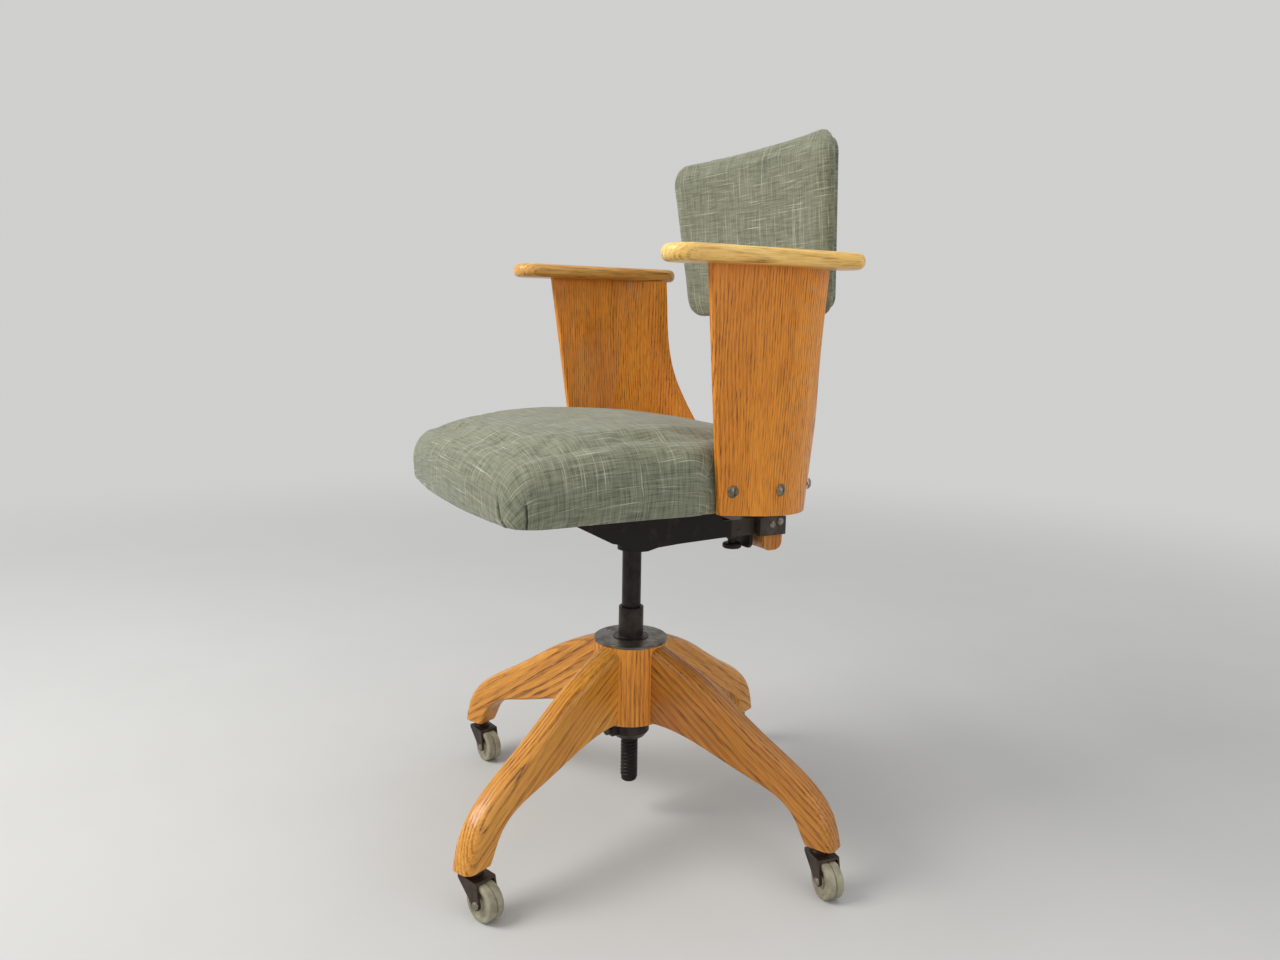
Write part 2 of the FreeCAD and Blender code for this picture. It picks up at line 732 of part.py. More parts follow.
sockets = []
for index in range(4):
    flange_low = s.legFoot - s.socketFlange
    socket = turned("Socket%d" % index, [
        (s.stemRadius + s.fitGap, flange_low),
        (s.socketFlangeRadius, flange_low),
        (s.socketFlangeRadius, s.legFoot),
        (s.socketRadius, s.legFoot),
        (s.socketRadius, s.socketTop),
        (s.stemRadius + s.fitGap, s.socketTop),
    ])
    sockets.append(caster_put(socket, index, 0, 0))

    inner_top = s.forkTop - s.forkPlate
    trail = s.casterTrail
    tip = s.axleHead * 1.2
    arms, pad = padded("ForkArms%d" % index, "XZ_Plane", [
        (as_size(-11), s.forkTop),
        (as_size(-11), inner_top - 2),
        (trail - tip, s.wheelRadius - tip * 0.4),
        (trail - tip * 0.6, s.wheelRadius - tip * 0.85),
        (trail, s.wheelRadius - tip),
        (trail + tip * 0.6, s.wheelRadius - tip * 0.85),
        (trail + tip, s.wheelRadius - tip * 0.4),
        (trail + tip, s.wheelRadius + tip * 0.6),
        (trail + 1, s.forkTop),
    ], s.forkWidth)
    inner = outline(arms, "ForkInner%d" % index, "XZ_Plane", [
        (as_size(-30), as_size(0)),
        (trail + 30, as_size(0)),
        (trail + 30, inner_top),
        (as_size(-30), inner_top),
    ])
    pocket = arms.newObject("PartDesign::Pocket", "ForkGap%d" % index)
    pocket.Profile = inner
    pocket.SideType = "Symmetric"
    bind(pocket, "Length", s.forkInner)
    caster_put(arms, index, 0, 0)
    stem = turned("Stem%d" % index, [
        (as_size(0), s.forkTop - 1),
        (s.stemRingRadius, s.forkTop - 1),
        (s.stemRingRadius, s.forkTop + s.stemRingStep),
        (s.stemRingRadius - s.stemRingStep, s.forkTop + s.stemRingStep * 2),
        (s.stemRingRadius - s.stemRingStep, flange_low - s.fitGap * 2),
        (s.stemRadius, flange_low - s.fitGap * 2),
        (s.stemRadius, s.stemTop - 1),
        (s.stemRadius - 1, s.stemTop),
        (as_size(0), s.stemTop),
    ])
    caster_put(stem, index, 0, 0)
    axle_hole = cylinder("AxleHole%d" % index, s.axleRadius + s.fitGap, s.forkWidth * 2, 0, 0, 0)
    heading = caster_turns[index]
    hx = caster_circle * cosine(leg_angle(index)) + trail * cosine(heading) + s.forkWidth * sine(heading)
    hy = caster_circle * sine(leg_angle(index)) + trail * sine(heading) - s.forkWidth * cosine(heading)
    put(axle_hole, hx, hy, s.wheelRadius, turn_about_z(heading).multiply(ALONG_Y))
    fork = fuse("ForkSolid%d" % index, [arms, stem])
    keep("caster_fork_%d" % (index + 1), cut("ForkCut%d" % index, fork, axle_hole))

    cheek = s.forkWidth / 2 + s.fitGap
    axle = turned("Axle%d" % index, [
        (as_size(0), -cheek - s.axleDome),
        (s.axleHead * 0.6, -cheek - s.axleDome * 0.8),
        (s.axleHead * 0.93, -cheek - s.axleDome * 0.35),
        (s.axleHead, -cheek),
        (s.axleRadius, -cheek),
        (s.axleRadius, cheek),
        (s.axleHead, cheek),
        (s.axleHead * 0.93, cheek + s.axleDome * 0.35),
        (s.axleHead * 0.6, cheek + s.axleDome * 0.8),
        (as_size(0), cheek + s.axleDome),
    ])
    keep("caster_axle_%d" % (index + 1), caster_put(axle, index, trail, s.wheelRadius, ALONG_Y))

    r = s.wheelRadius
    wheel = turned("Wheel%d" % index, [
        (s.axleRadius + s.fitGap, -wheel_half - 0.4),
        (s.wheelHubRadius, -wheel_half - 0.4),
        (s.wheelHubRadius + 0.5, s.wheelRecess - wheel_half),
        (s.wheelRimInner, s.wheelRecess - wheel_half),
        (s.wheelRimInner + 1, -wheel_half),
        (r - 2.2, -wheel_half),
        (r - 0.7, 0.8 - wheel_half),
        (r, 2.6 - wheel_half),
        (r, -s.wheelGroove * 0.6),
        (r - s.wheelGroove, as_size(0)),
        (r, s.wheelGroove * 0.6),
        (r, wheel_half - 2.6),
        (r - 0.7, wheel_half - 0.8),
        (r - 2.2, wheel_half),
        (s.wheelRimInner + 1, wheel_half),
        (s.wheelRimInner, wheel_half - s.wheelRecess),
        (s.wheelHubRadius + 0.5, wheel_half - s.wheelRecess),
        (s.wheelHubRadius, wheel_half + 0.4),
        (s.axleRadius + s.fitGap, wheel_half + 0.4),
    ])
    keep("caster_wheel_%d" % (index + 1), caster_put(wheel, index, trail, s.wheelRadius, ALONG_Y))
keep("caster_sockets", group("CasterSockets", sockets))

# seat bearer, its bolts, the guide box and its fin

inner_floor = s.armUnder + s.bearerWall
trough, pad = padded("Bearer", "YZ_Plane", [
    (s.bearerFront, s.seatBottom),
    (s.bearerFront + s.bearerNose, s.seatBottom - s.bearerNoseDrop),
    (s.bearerBoss * -2, s.armUnder + 7),
    (s.bearerBoss * -1.37, s.armUnder + 4),
    (s.bearerBoss * -0.21, s.bearerLowest + 1),
    (s.bearerBoss * 0.21, s.bearerLowest),
    (s.bearerBoss * 0.68, s.bearerLowest),
    (s.bearerBoss * 1.47, s.armUnder - 4),
    (s.bearerRear * 0.43, s.armUnder - 2),
    (s.bearerRear * 0.89, s.armUnder),
    (s.bearerRear, s.armUnder),
    (s.bearerRear, s.bearerRearTop),
    (s.bearerRear - 14, s.bearerRearTop),
    (s.bearerRear - 30, s.seatBottom),
], s.bearerWidth)
hollow = outline(trough, "BearerHollow", "YZ_Plane", [
    (s.bearerFront + s.bearerWall * 3, s.seatBottom + 1),
    (s.bearerFront + s.bearerNose + 2, s.seatBottom - s.bearerNoseDrop + s.bearerWall * 1.33),
    (s.bearerBoss * -1.89, s.armUnder + s.bearerWall * 3.5),
    (s.bearerBoss * -1.26, s.armUnder + s.bearerWall * 2.33),
    (s.bearerBoss * -0.16, s.bearerLowest + s.bearerWall * 1.33),
    (s.bearerBoss * 0.74, s.bearerLowest + s.bearerWall * 1.33),
    (s.bearerRear * 0.43, inner_floor - 2),
    (s.bearerRear * 0.86, inner_floor),
    (s.bearerRear + 1, inner_floor),
    (s.bearerRear + 1, s.seatBottom + 1),
])
pocket = trough.newObject("PartDesign::Pocket", "BearerPocket")
pocket.Profile = hollow
pocket.SideType = "Symmetric"
bind(pocket, "Length", s.bearerWidth - s.bearerWall * 2)
top_low = s.seatBottom - s.bearerPlateThickness
mount_plate = box("BearerPlate", s.bearerPlateWidth, s.bearerPlateRear - s.bearerPlateFront,
                  s.bearerPlateThickness, -s.bearerPlateWidth / 2, s.bearerPlateFront, top_low)
boss = cylinder("BearerBoss", s.bearerBoss, s.seatBottom - s.bearerLowest - 2.0, 0, 0,
                s.bearerLowest + 1.0)
boss_bore = cylinder("BearerBore", s.spindleRadius + s.fitGap,
                     s.spindleTop + s.fitGap - s.bearerLowest + 5, 0, 0, s.bearerLowest - 5)
bolt_spots = []
for sx in (-1, 1):
    for spot_y in (s.bearerBoltFront, s.bearerBoltRear):
        bolt_spots.append((s.bearerBoltX * sx, spot_y))


def bearer_bolt(name, spot, extra, head):
    low = top_low - extra
    shank = cylinder(name + "Shank", s.bearerBoltRadius + extra, s.bearerBoltLength + extra * 2,
                     spot[0], spot[1], low)
    if not head:
        return shank
    cap = cylinder(name + "Cap", s.bearerBoltHead, s.bearerBoltHeadHeight, spot[0], spot[1],
                   top_low - s.bearerBoltHeadHeight)
    return fuse(name, [shank, cap])


bolts = []
bolt_holes = []
for index, spot in enumerate(bolt_spots):
    bolts.append(bearer_bolt("BearerBolt%d" % index, spot, as_size(0), True))
    bolt_holes.append(bearer_bolt("BearerBoltHole%d" % index, spot, s.fitGap, False))
bearer_solid = fuse("BearerSolid", [trough, mount_plate, boss])
keep("seat_bearer", cut("BearerCut", bearer_solid, fuse("BearerHoles", [boss_bore] + bolt_holes)))
keep("bearer_bolts", group("BearerBolts", bolts))

guide_half = s.bearerWidth / 2
guide_height = s.bearerRearTop - s.armUnder
guide_length = s.guideEnd - s.bearerRear
tube = box("GuideTube", s.bearerWidth, guide_length, guide_height, -guide_half, s.bearerRear, s.armUnder)
tube_gap = box("GuideGap", s.bearerWidth - s.bearerWall * 2, guide_length + 20,
               guide_height - s.bearerWall * 2, s.bearerWall - guide_half, s.bearerRear - 10, inner_floor)
knob_boss = cone("KnobBoss", s.bossLowRadius, s.bossTopRadius, s.bossHeight, 0, s.knobY,
                 s.armUnder - s.bossHeight)
knob_bore = cylinder("KnobBore", s.knobStem + s.fitGap, s.bossHeight + s.bearerWall * 2, 0, s.knobY,
                     s.armUnder - s.bossHeight - 1.0)
dimples = []
for side in (-1, 1):
    turn = FreeCAD.Rotation(FreeCAD.Vector(0, 1, 0), -90.0 * side)
    dimples.append(cone("Dimple%d" % (side + 1), 3.6, 2.4, 1.0, (guide_half + 0.05) * side,
                        s.bearerRear + 10, s.armUnder + guide_height / 2, turn))
guide = fuse("GuideSolid", [tube, knob_boss])
keep("arm_guide", cut("GuideCut", guide, fuse("GuideHoles", [tube_gap, knob_bore] + dimples)))
fin, pad = padded("GuideFin", "XZ_Plane", [
    (-guide_half, s.armUnder),
    (-guide_half, s.finBottom + s.finCorner),
    (s.finCorner - guide_half, s.finBottom),
    (guide_half - s.finCorner, s.finBottom),
    (guide_half, s.finBottom + s.finCorner),
    (guide_half, s.armUnder),
], s.finThickness)
keep("guide_fin", put(fin, 0, s.finFront + s.finThickness / 2, 0))

knob_top = s.armUnder - s.bossHeight - s.fitGap
knob = turned("Knob", [
    (as_size(0), s.knobBottom),
    (s.knobRadius - 1.5, s.knobBottom),
    (s.knobRadius, s.knobBottom + 1.5),
    (s.knobRadius, s.knobBottom + s.knobHeight - 1.5),
    (s.knobRadius - 1.5, s.knobBottom + s.knobHeight),
    (s.knobNeck, s.knobBottom + s.knobHeight + 0.5),
    (s.knobNeck, knob_top),
    (s.knobStem, knob_top),
    (s.knobStem, inner_floor),
    (as_size(0), inner_floor),
])
keep("clamp_knob", put(knob, 0, s.knobY, 0))

arm_half = guide_half - s.bearerWall - s.fitGap
arm_low = inner_floor + s.fitGap
arm_bar = box("ArmBar", arm_half * 2, s.webFront - s.armStart,
              guide_height - s.bearerWall * 2 - s.fitGap * 2, -arm_half, s.armStart, arm_low)
keep("back_arm", arm_bar)

# end bracket, its clamp bolts and the back post

post_front = s.webFront + s.webThickness + 0.1
bracket_inner = s.postHalf + s.looseGap
web_back = s.webFront + s.webThickness
bracket_back = post_front + s.postDepth
bracket, pad = padded("Bracket", "XY_Plane", [
    (-s.bracketOuter, s.bracketEarFront),
    (-s.bracketEarInner, s.bracketEarFront),
    (-s.bracketEarInner, s.webFront),
    (s.bracketEarInner, s.webFront),
    (s.bracketEarInner, s.bracketEarFront),
    (s.bracketOuter, s.bracketEarFront),
    (s.bracketOuter, bracket_back),
    (bracket_inner, bracket_back),
    (bracket_inner, web_back),
    (-bracket_inner, web_back),
    (-bracket_inner, bracket_back),
    (-s.bracketOuter, bracket_back),
], s.bracketTop - s.armUnder, False, s.armUnder)


def bracket_bolt(name, side, spot_y, spot_z, extra, head):
    turn = FreeCAD.Rotation(FreeCAD.Vector(0, 1, 0), 90.0 * side)
    length = s.bracketOuter - s.postHalf - s.looseGap - 0.2
    shank = cylinder(name + "Shank", s.bracketBoltRadius + extra, length + extra * 2,
                     (s.bracketOuter - length - extra) * side, spot_y, spot_z, turn)
    if not head:
        return shank
    rim = cylinder(name + "Rim", s.bracketBoltHead, s.bracketBoltDome * 0.4,
                   s.bracketOuter * side, spot_y, spot_z, turn)
    dome = cone(name + "Dome", s.bracketBoltHead, s.bracketBoltHead * 0.6, s.bracketBoltDome * 0.6,
                (s.bracketOuter + s.bracketBoltDome * 0.4) * side, spot_y, spot_z, turn)
    return fuse(name, [shank, rim, dome])


clamp_bolts = []
clamp_holes = []
for side in (-1, 1):
    for mark, spot_y, spot_z in (("A", s.boltFrontY, s.boltFrontZ), ("B", s.boltRearY, s.boltRearZ)):
        name = "ClampBolt%s%d" % (mark, side + 1)
        clamp_bolts.append(bracket_bolt(name, side, spot_y, spot_z, as_size(0), True))
        clamp_holes.append(bracket_bolt(name + "Hole", side, spot_y, spot_z, s.fitGap, False))
keep("end_bracket", cut("BracketCut", bracket, fuse("BracketHoles", clamp_holes)))
keep("bracket_bolts", group("BracketBolts", clamp_bolts))

lean = s.padLean
pivot_y = s.padEdgeY + s.pivotBack * cosine(lean) + s.pivotDrop * sine(lean)
pivot_z = s.padMidZ + s.pivotBack * sine(lean) - s.pivotDrop * cosine(lean)
upper_half = s.postUpperDepth / 2
upper_front = pivot_y - upper_half
upper_back = pivot_y + upper_half


def post_body():
    # side profile of the post in the YZ plane: a straight foot, a long bend and a round head
    body = new_body("Post")
    sketch = attach(body, "PostSide", "YZ_Plane")
    bend = s.postUpperStart - s.postStraight
    shift = upper_front - post_front
    foot_back = post_front + s.postDepth
    shift_back = upper_back - foot_back
    front = []
    back = []
    for share, move in ((0, 0), (0.15, 0.035), (0.35, 0.25), (0.65, 0.75), (0.85, 0.965), (1, 1)):
        front.append(vec(post_front + shift * move, s.postStraight + bend * share, 0))
        back.append(vec(foot_back + shift_back * move, s.postStraight + bend * share, 0))
    front_curve = Part.BSplineCurve()
    front_curve.interpolate(Points=front, InitialTangent=vec(0, 1, 0), FinalTangent=vec(0, 1, 0))
    back_curve = Part.BSplineCurve()
    back_curve.interpolate(Points=back, InitialTangent=vec(0, 1, 0), FinalTangent=vec(0, 1, 0))
    low = s.postBottom
    corner = s.postCorner
    k = corner * 0.293
    head_mid = vec(pivot_y, pivot_z + upper_half, 0)
    points = [vec(post_front, s.postStraight, 0), vec(post_front, low + corner, 0),
              vec(post_front + corner, low, 0), vec(foot_back - corner, low, 0),
              vec(foot_back, low + corner, 0), vec(foot_back, s.postStraight, 0)]
    sketch.addGeometry(front_curve)
    sketch.addGeometry(Part.LineSegment(points[0], points[1]))
    sketch.addGeometry(Part.Arc(points[1], vec(post_front + k, low + k, 0), points[2]))
    sketch.addGeometry(Part.LineSegment(points[2], points[3]))
    sketch.addGeometry(Part.Arc(points[3], vec(foot_back - k, low + k, 0), points[4]))
    sketch.addGeometry(Part.LineSegment(points[4], points[5]))
    sketch.addGeometry(back_curve)
    sketch.addGeometry(Part.LineSegment(back[-1], vec(upper_back, pivot_z, 0)))
    sketch.addGeometry(Part.Arc(vec(upper_back, pivot_z, 0), head_mid, vec(upper_front, pivot_z, 0)))
    sketch.addGeometry(Part.LineSegment(vec(upper_front, pivot_z, 0), front[-1]))
    pad = body.newObject("PartDesign::Pad", "PostPad")
    pad.Profile = sketch
    pad.SideType = "Symmetric"
    bind(pad, "Length", s.postHalf * 2)
    return body


pin_hole = cylinder("PinHole", s.pivotPin + s.fitGap, s.postHalf * 4, -s.postHalf * 2, pivot_y, pivot_z,
                    ALONG_X)
keep("back_post", cut("PostCut", post_body(), pin_hole))

# seat board, seat frame and cushion

bend_x = s.panelSideLow - s.panelRadius
cover_side = s.panelSideLow - s.panelThickness - s.looseGap
cover_radius = s.panelRadius - s.panelThickness - s.looseGap
frame_low = s.seatBottom + s.boardThickness


def plan_face(half, neck, radius, front, rear, corner, height):
    # plan of the seat: bowed front, round front corners, and a rear that follows the side panels
    half = half.number
    neck = neck.number
    radius = radius.number
    front = front.number
    rear = rear.number
    corner = corner.number
    bow = s.seatBow.number
    cx = bend_x.number
    cy = s.panelBendLow.number
    end = math.asin((rear - cy) / radius)
    k = corner * 0.293
    side_y = front + bow + corner

    def at(x, y):
        return FreeCAD.Vector(x, y, height.number)

    edges = [Part.Arc(at(corner - half, front + bow), at(0, front), at(half - corner, front + bow))]
    for side in (1, -1):
        part = [Part.Arc(at(side * (half - corner), front + bow), at(side * (half - k), front + bow + k),
                         at(side * half, side_y))]
        if half > neck:
            a = s.seatNeckStart.number
            b = s.seatNeckEnd.number
            part.append(Part.LineSegment(at(side * half, side_y), at(side * half, a)))
            part.append(Part.Arc(at(side * half, a),
                                 at(side * (half - (half - neck) * 0.27), a + (b - a) * 0.62),
                                 at(side * neck, b)))
            part.append(Part.LineSegment(at(side * neck, b), at(side * neck, cy)))
        else:
            part.append(Part.LineSegment(at(side * half, side_y), at(side * half, cy)))
        part.append(Part.Arc(at(side * neck, cy),
                             at(side * (cx + radius * math.cos(end / 2)), cy + radius * math.sin(end / 2)),
                             at(side * (cx + radius * math.cos(end)), rear)))
        edges += part
    rear_x = cx + radius * math.cos(end)
    edges.append(Part.LineSegment(at(rear_x, rear), at(-rear_x, rear)))
    ordered = Part.sortEdges([edge.toShape() for edge in edges])[0]
    return Part.Face(Part.Wire(ordered))


def frame_plan(inset, height):
    half = cover_side - s.coverThickness - inset
    return plan_face(half, half, cover_radius - s.coverThickness - inset,
                     s.seatFront + s.coverThickness * 3 + inset, s.seatRear - s.coverThickness - inset,
                     s.seatCorner, height)


def raised(face, height):
    return face.extrude(FreeCAD.Vector(0, 0, as_size(height).number))


board_shape = raised(frame_plan(as_size(0), s.seatBottom), s.boardThickness)
board = free_shape("Board", board_shape)
board_holes = []
for index, spot in enumerate(bolt_spots):
    board_holes.append(bearer_bolt("BoardHole%d" % index, spot, s.fitGap, False))
keep("seat_board", cut("BoardCut", board, fuse("BoardHoles", board_holes)))

ring_shape = raised(frame_plan(as_size(0), frame_low), s.frameHeight)
ring_shape = ring_shape.cut(raised(frame_plan(s.frameWidth, frame_low - 1), s.frameHeight + 2))
ring = free_shape("FrameRing", ring_shape)

gap = s.looseGap
core = raised(frame_plan(-gap, s.seatBottom - 1), s.boardThickness + gap + 1)
ring_room = raised(frame_plan(-gap, s.seatBottom), s.boardThickness + s.frameHeight + gap)
ring_room = ring_room.cut(raised(frame_plan(s.frameWidth + gap, s.seatBottom - 1),
                                 s.boardThickness + s.frameHeight + gap + 2))


def crown_section(x, fall):
    # one closed side profile of the seat, its top a single arc from front to rear
    drop = (s.seatCrown - s.seatShoulder).number * fall
    low = s.seatBottom.number
    front = s.seatFront.number - 10
    rear = s.seatRear.number + 12
    a = FreeCAD.Vector(x, front, s.seatFrontHeight.number - drop)
    b = FreeCAD.Vector(x, front * 0.35, s.seatCrown.number - drop)
    c = FreeCAD.Vector(x, rear, s.seatRearHeight.number - drop)
    d = FreeCAD.Vector(x, rear, low)
    e = FreeCAD.Vector(x, front, low)
    return Part.Wire([Part.Arc(a, b, c).toShape(), Part.LineSegment(c, d).toShape(),
                      Part.LineSegment(d, e).toShape(), Part.LineSegment(e, a).toShape()])


sections = []
for share, fall in ((-1.02, 1.9), (-0.91, 1.0), (-0.6, 0.18), (0, 0), (0.6, 0.18), (0.91, 1.0), (1.02, 1.9)):
    sections.append(crown_section(s.seatHalf.number * share, fall))
crown = Part.makeLoft(sections, True, False)
plan = raised(plan_face(s.seatHalf, cover_side, cover_radius, s.seatFront, s.seatRear, s.seatCorner,
                        s.seatBottom), (s.seatCrown - s.seatBottom) * 2)
cushion_form = crown.common(plan)
if len(cushion_form.Solids) == 1:
    cushion_form = cushion_form.Solids[0]


def crown_edges(shape):
    found = []
    for edge in shape.Edges:
        if len(edge.Vertexes) < 1:
            continue
        mid = middle(edge)
        if mid.z > s.seatBottom.number + 20 and edge.BoundBox.ZLength < 22:
            found.append(edge)
    return found


cushion_form = cushion_form.makeFillet(s.seatEdgeRound.number, crown_edges(cushion_form))
cushion_form = cushion_form.cut(core).cut(ring_room)
cushion = free_shape("CushionForm", cushion_form)

# side panels, their screws, the arms and their dowels


def panel_wire(height):
    # plan of a side panel at one height: a straight run and a wrap round the rear corner
    share = (height - s.seatBottom).number / (s.panelTop - s.seatBottom).number
    side = s.panelSideLow.number + (s.panelSideHigh - s.panelSideLow).number * share
    bend = s.panelBendLow.number + (s.panelBendHigh - s.panelBendLow).number * share
    outer = s.panelRadius.number
    inner = outer - s.panelThickness.number
    thick = s.panelThickness.number
    cx = side - outer
    start = s.panelFrontHigh.number - 30

    def at(radius, angle):
        turn = math.radians(angle)
        return FreeCAD.Vector(cx + radius * math.cos(turn), bend + radius * math.sin(turn), height.number)

    a = FreeCAD.Vector(side, start, height.number)
    b = FreeCAD.Vector(side - thick, start, height.number)
    return Part.Wire([Part.LineSegment(a, at(outer, 0)).toShape(),
                      Part.Arc(at(outer, 0), at(outer, 44), at(outer, 88)).toShape(),
                      Part.LineSegment(at(outer, 88), at(inner, 88)).toShape(),
                      Part.Arc(at(inner, 88), at(inner, 44), at(inner, 0)).toShape(),
                      Part.LineSegment(at(inner, 0), b).toShape(),
                      Part.LineSegment(b, a).toShape()])


PANEL_REAR = [(0.48, 0.182), (0.734, 0.375), (0.829, 0.483), (0.923, 0.677), (0.966, 0.848)]


def panel_shape():
    deepest = s.seatBottom - s.panelRadius * math.tan(math.radians(s.panelFall.number)) * 2
    shape = Part.makeLoft([panel_wire(deepest), panel_wire(s.panelTop)], True, True)
    low = s.seatBottom.number
    high = s.panelTop.number
    x0 = s.panelRearLow.number
    x1 = s.panelRearHigh.number
    y = s.panelBendHigh.number + 15
    curve = [FreeCAD.Vector(x0, y, low)]
    for u, w in PANEL_REAR:
        curve.append(FreeCAD.Vector(x0 + (x1 - x0) * u, y, low + (high - low) * w))
    curve.append(FreeCAD.Vector(x1, y, high))
    spline = Part.BSplineCurve()
    spline.interpolate(curve)
    corners = [FreeCAD.Vector(x1, y, high), FreeCAD.Vector(x1, y, high + 20),
               FreeCAD.Vector(-20, y, high + 20),
               FreeCAD.Vector(-20, y, deepest.number - 20), FreeCAD.Vector(x0, y, deepest.number - 20),
               FreeCAD.Vector(x0, y, low)]
    edges = [spline.toShape()]
    for i in range(5):
        edges.append(Part.LineSegment(corners[i], corners[i + 1]).toShape())
    tool = Part.Face(Part.Wire(edges)).extrude(FreeCAD.Vector(0, s.panelRadius.number * 1.5, 0))
    shape = shape.cut(tool)
    # the bottom edge falls towards the rear, and the front edge slopes
    a = s.panelFrontLow.number
    b = s.panelFrontHigh.number
    reach = s.panelRadius.number * 2
    under = Part.makeBox(reach, reach * 2, reach, FreeCAD.Vector(0, -reach, -reach))
    under.rotate(ORIGIN, FreeCAD.Vector(1, 0, 0), -s.panelFall.number)
    under.translate(FreeCAD.Vector(0, a, low))
    shape = shape.cut(under)
    far = b - 80
    slope = (b - a) / (high - low)
    front = Part.makePolygon([FreeCAD.Vector(0, far, low - 20), FreeCAD.Vector(0, a - slope * 20, low - 20),
                              FreeCAD.Vector(0, b + slope * 20, high + 20), FreeCAD.Vector(0, far, high + 20),
                              FreeCAD.Vector(0, far, low - 20)])
    shape = shape.cut(Part.Face(front).extrude(FreeCAD.Vector(s.panelSideHigh.number * 2, 0, 0)))
    edges = []
    for edge in shape.Edges:
        mid = middle(edge)
        line_y = a + slope * (mid.z - low)
        if abs(mid.y - line_y) < 0.05 and edge.BoundBox.ZLength > (high - low) / 2:
            edges.append(edge)
    return shape.makeFillet(s.panelEdgeRound.number, edges)


panel_left = free_shape("PanelForm", panel_shape())
screw_share = (s.panelScrewHeight - s.seatBottom) / (s.panelTop - s.seatBottom)
screw_side = s.panelSideLow + (s.panelSideHigh - s.panelSideLow) * screw_share
screw_bend = s.panelBendLow + (s.panelBendHigh - s.panelBendLow) * screw_share


def panel_screw_spots():
    # place and outward direction of the three screws of the +X panel
    side_run = (s.panelSideHigh - s.panelSideLow).number
    bend_run = (s.panelBendHigh - s.panelBendLow).number
    rise = (s.panelTop - s.seatBottom).number
    spots = []
    for drop, angle in ((0.0, 0.0), (s.panelScrewDropTwo.number, 15.0), (s.panelScrewDropThree.number, 50.0)):
        turn = math.radians(angle)
        y = s.panelScrewFront.number
        if angle > 0:
            x = screw_side.number - s.panelRadius.number * (1 - math.cos(turn))
            y = screw_bend.number + s.panelRadius.number * math.sin(turn)
            lean_angle = math.atan((side_run * math.cos(turn) + bend_run * math.sin(turn)) / rise)
        else:
            x = screw_side.number
            lean_angle = math.atan(side_run / rise)
        out = FreeCAD.Vector(math.cos(turn) * math.cos(lean_angle), math.sin(turn) * math.cos(lean_angle),
                             -math.sin(lean_angle))
        spots.append((FreeCAD.Vector(x, y, s.panelScrewHeight.number - drop), out))
    return spots


def aimed(kind, name, out_from, point, out, sizes):
    # a cylinder or cone that points along a direction, starting some way out from a point
    thing = doc.addObject(kind, name)
    for prop, size in sizes:
        bind(thing, prop, size)
    turn = FreeCAD.Rotation(FreeCAD.Vector(0, 0, 1), out)
    thing.Placement = FreeCAD.Placement(point + out * as_size(out_from).number, turn)
    return thing


def panel_screw(name, spot, extra, head):
    point, out = spot
    length = s.panelScrewLength + extra
    shank = aimed("Part::Cylinder", name + "Shank", -length, point, out,
                  [("Radius", s.panelScrewRadius + extra), ("Height", length + (0.5 if head else 8.0))])
    if not head:
        return shank
    seat = as_size(0.2)
    cup = aimed("Part::Cone", name + "Cup", seat, point, out,
                [("Radius1", s.panelCupRadius), ("Radius2", s.panelScrewHead + 0.3),
                 ("Height", s.panelCupHeight)])
    rim = aimed("Part::Cone", name + "Rim", seat + s.panelCupHeight, point, out,
                [("Radius1", s.panelScrewHead), ("Radius2", s.panelScrewHead * 0.82),
                 ("Height", s.panelScrewDome * 0.5)])
    dome = aimed("Part::Cone", name + "Dome", seat + s.panelCupHeight + s.panelScrewDome * 0.5, point, out,
                 [("Radius1", s.panelScrewHead * 0.82), ("Radius2", s.panelScrewHead * 0.4),
                  ("Height", s.panelScrewDome * 0.5)])
    body = fuse(name + "Body", [shank, cup, rim, dome])
    slot = doc.addObject("Part::Box", name + "Slot")
    bind(slot, "Length", s.panelScrewHead * 3)
    bind(slot, "Width", as_size(1.3))
    bind(slot, "Height", s.panelScrewDome * 2)
    turn = FreeCAD.Rotation(FreeCAD.Vector(0, 0, 1), out)
    corner = turn.multVec(FreeCAD.Vector(-s.panelScrewHead.number * 1.5, -0.65, 0))
    top = (seat + s.panelCupHeight + s.panelScrewDome * 0.35).number
    slot.Placement = FreeCAD.Placement(point + out * top + corner, turn)
    return cut(name, body, slot)


def mirrored(name, source):
    thing = doc.addObject("Part::Mirroring", name)
    thing.Source = source
    thing.Normal = FreeCAD.Vector(1, 0, 0)
    thing.Base = ORIGIN
    return thing


spots = panel_screw_spots()
screws = []
screw_holes = []
for index, spot in enumerate(spots):
    screws.append(panel_screw("PanelScrew%d" % index, spot, as_size(0), True))
    screw_holes.append(panel_screw("PanelScrewHole%d" % index, spot, s.fitGap, False))
screws_left = group("PanelScrewsLeft", screws)
holes_left = fuse("PanelHolesLeft", screw_holes)
holes_right = mirrored("PanelHolesRight", holes_left)
screws_right = mirrored("PanelScrewsRight", screws_left)
keep("panel_screws", group("PanelScrews", [screws_left, screws_right]))
both_holes = fuse("PanelHolesBoth", [holes_left, holes_right])
keep("seat_frame", cut("FrameCut", ring, both_holes))
keep("seat_cushion", cut("CushionCut", cushion, both_holes))

arm_top = s.panelTop + s.armThickness
dowel_low = s.panelTop - s.armDowelDrop
dowel_x = s.panelSideHigh - s.panelThickness / 2 - (s.panelSideHigh - s.panelSideLow) * 0.02
dowel_arc = s.panelRadius - s.panelThickness / 2
dowel_spots = [
    (dowel_x, s.panelFrontHigh + 28),
    (dowel_x, s.panelBendHigh - 8),
    (s.panelSideHigh - s.panelRadius + dowel_arc * 0.906, s.panelBendHigh + dowel_arc * 0.4226),
]


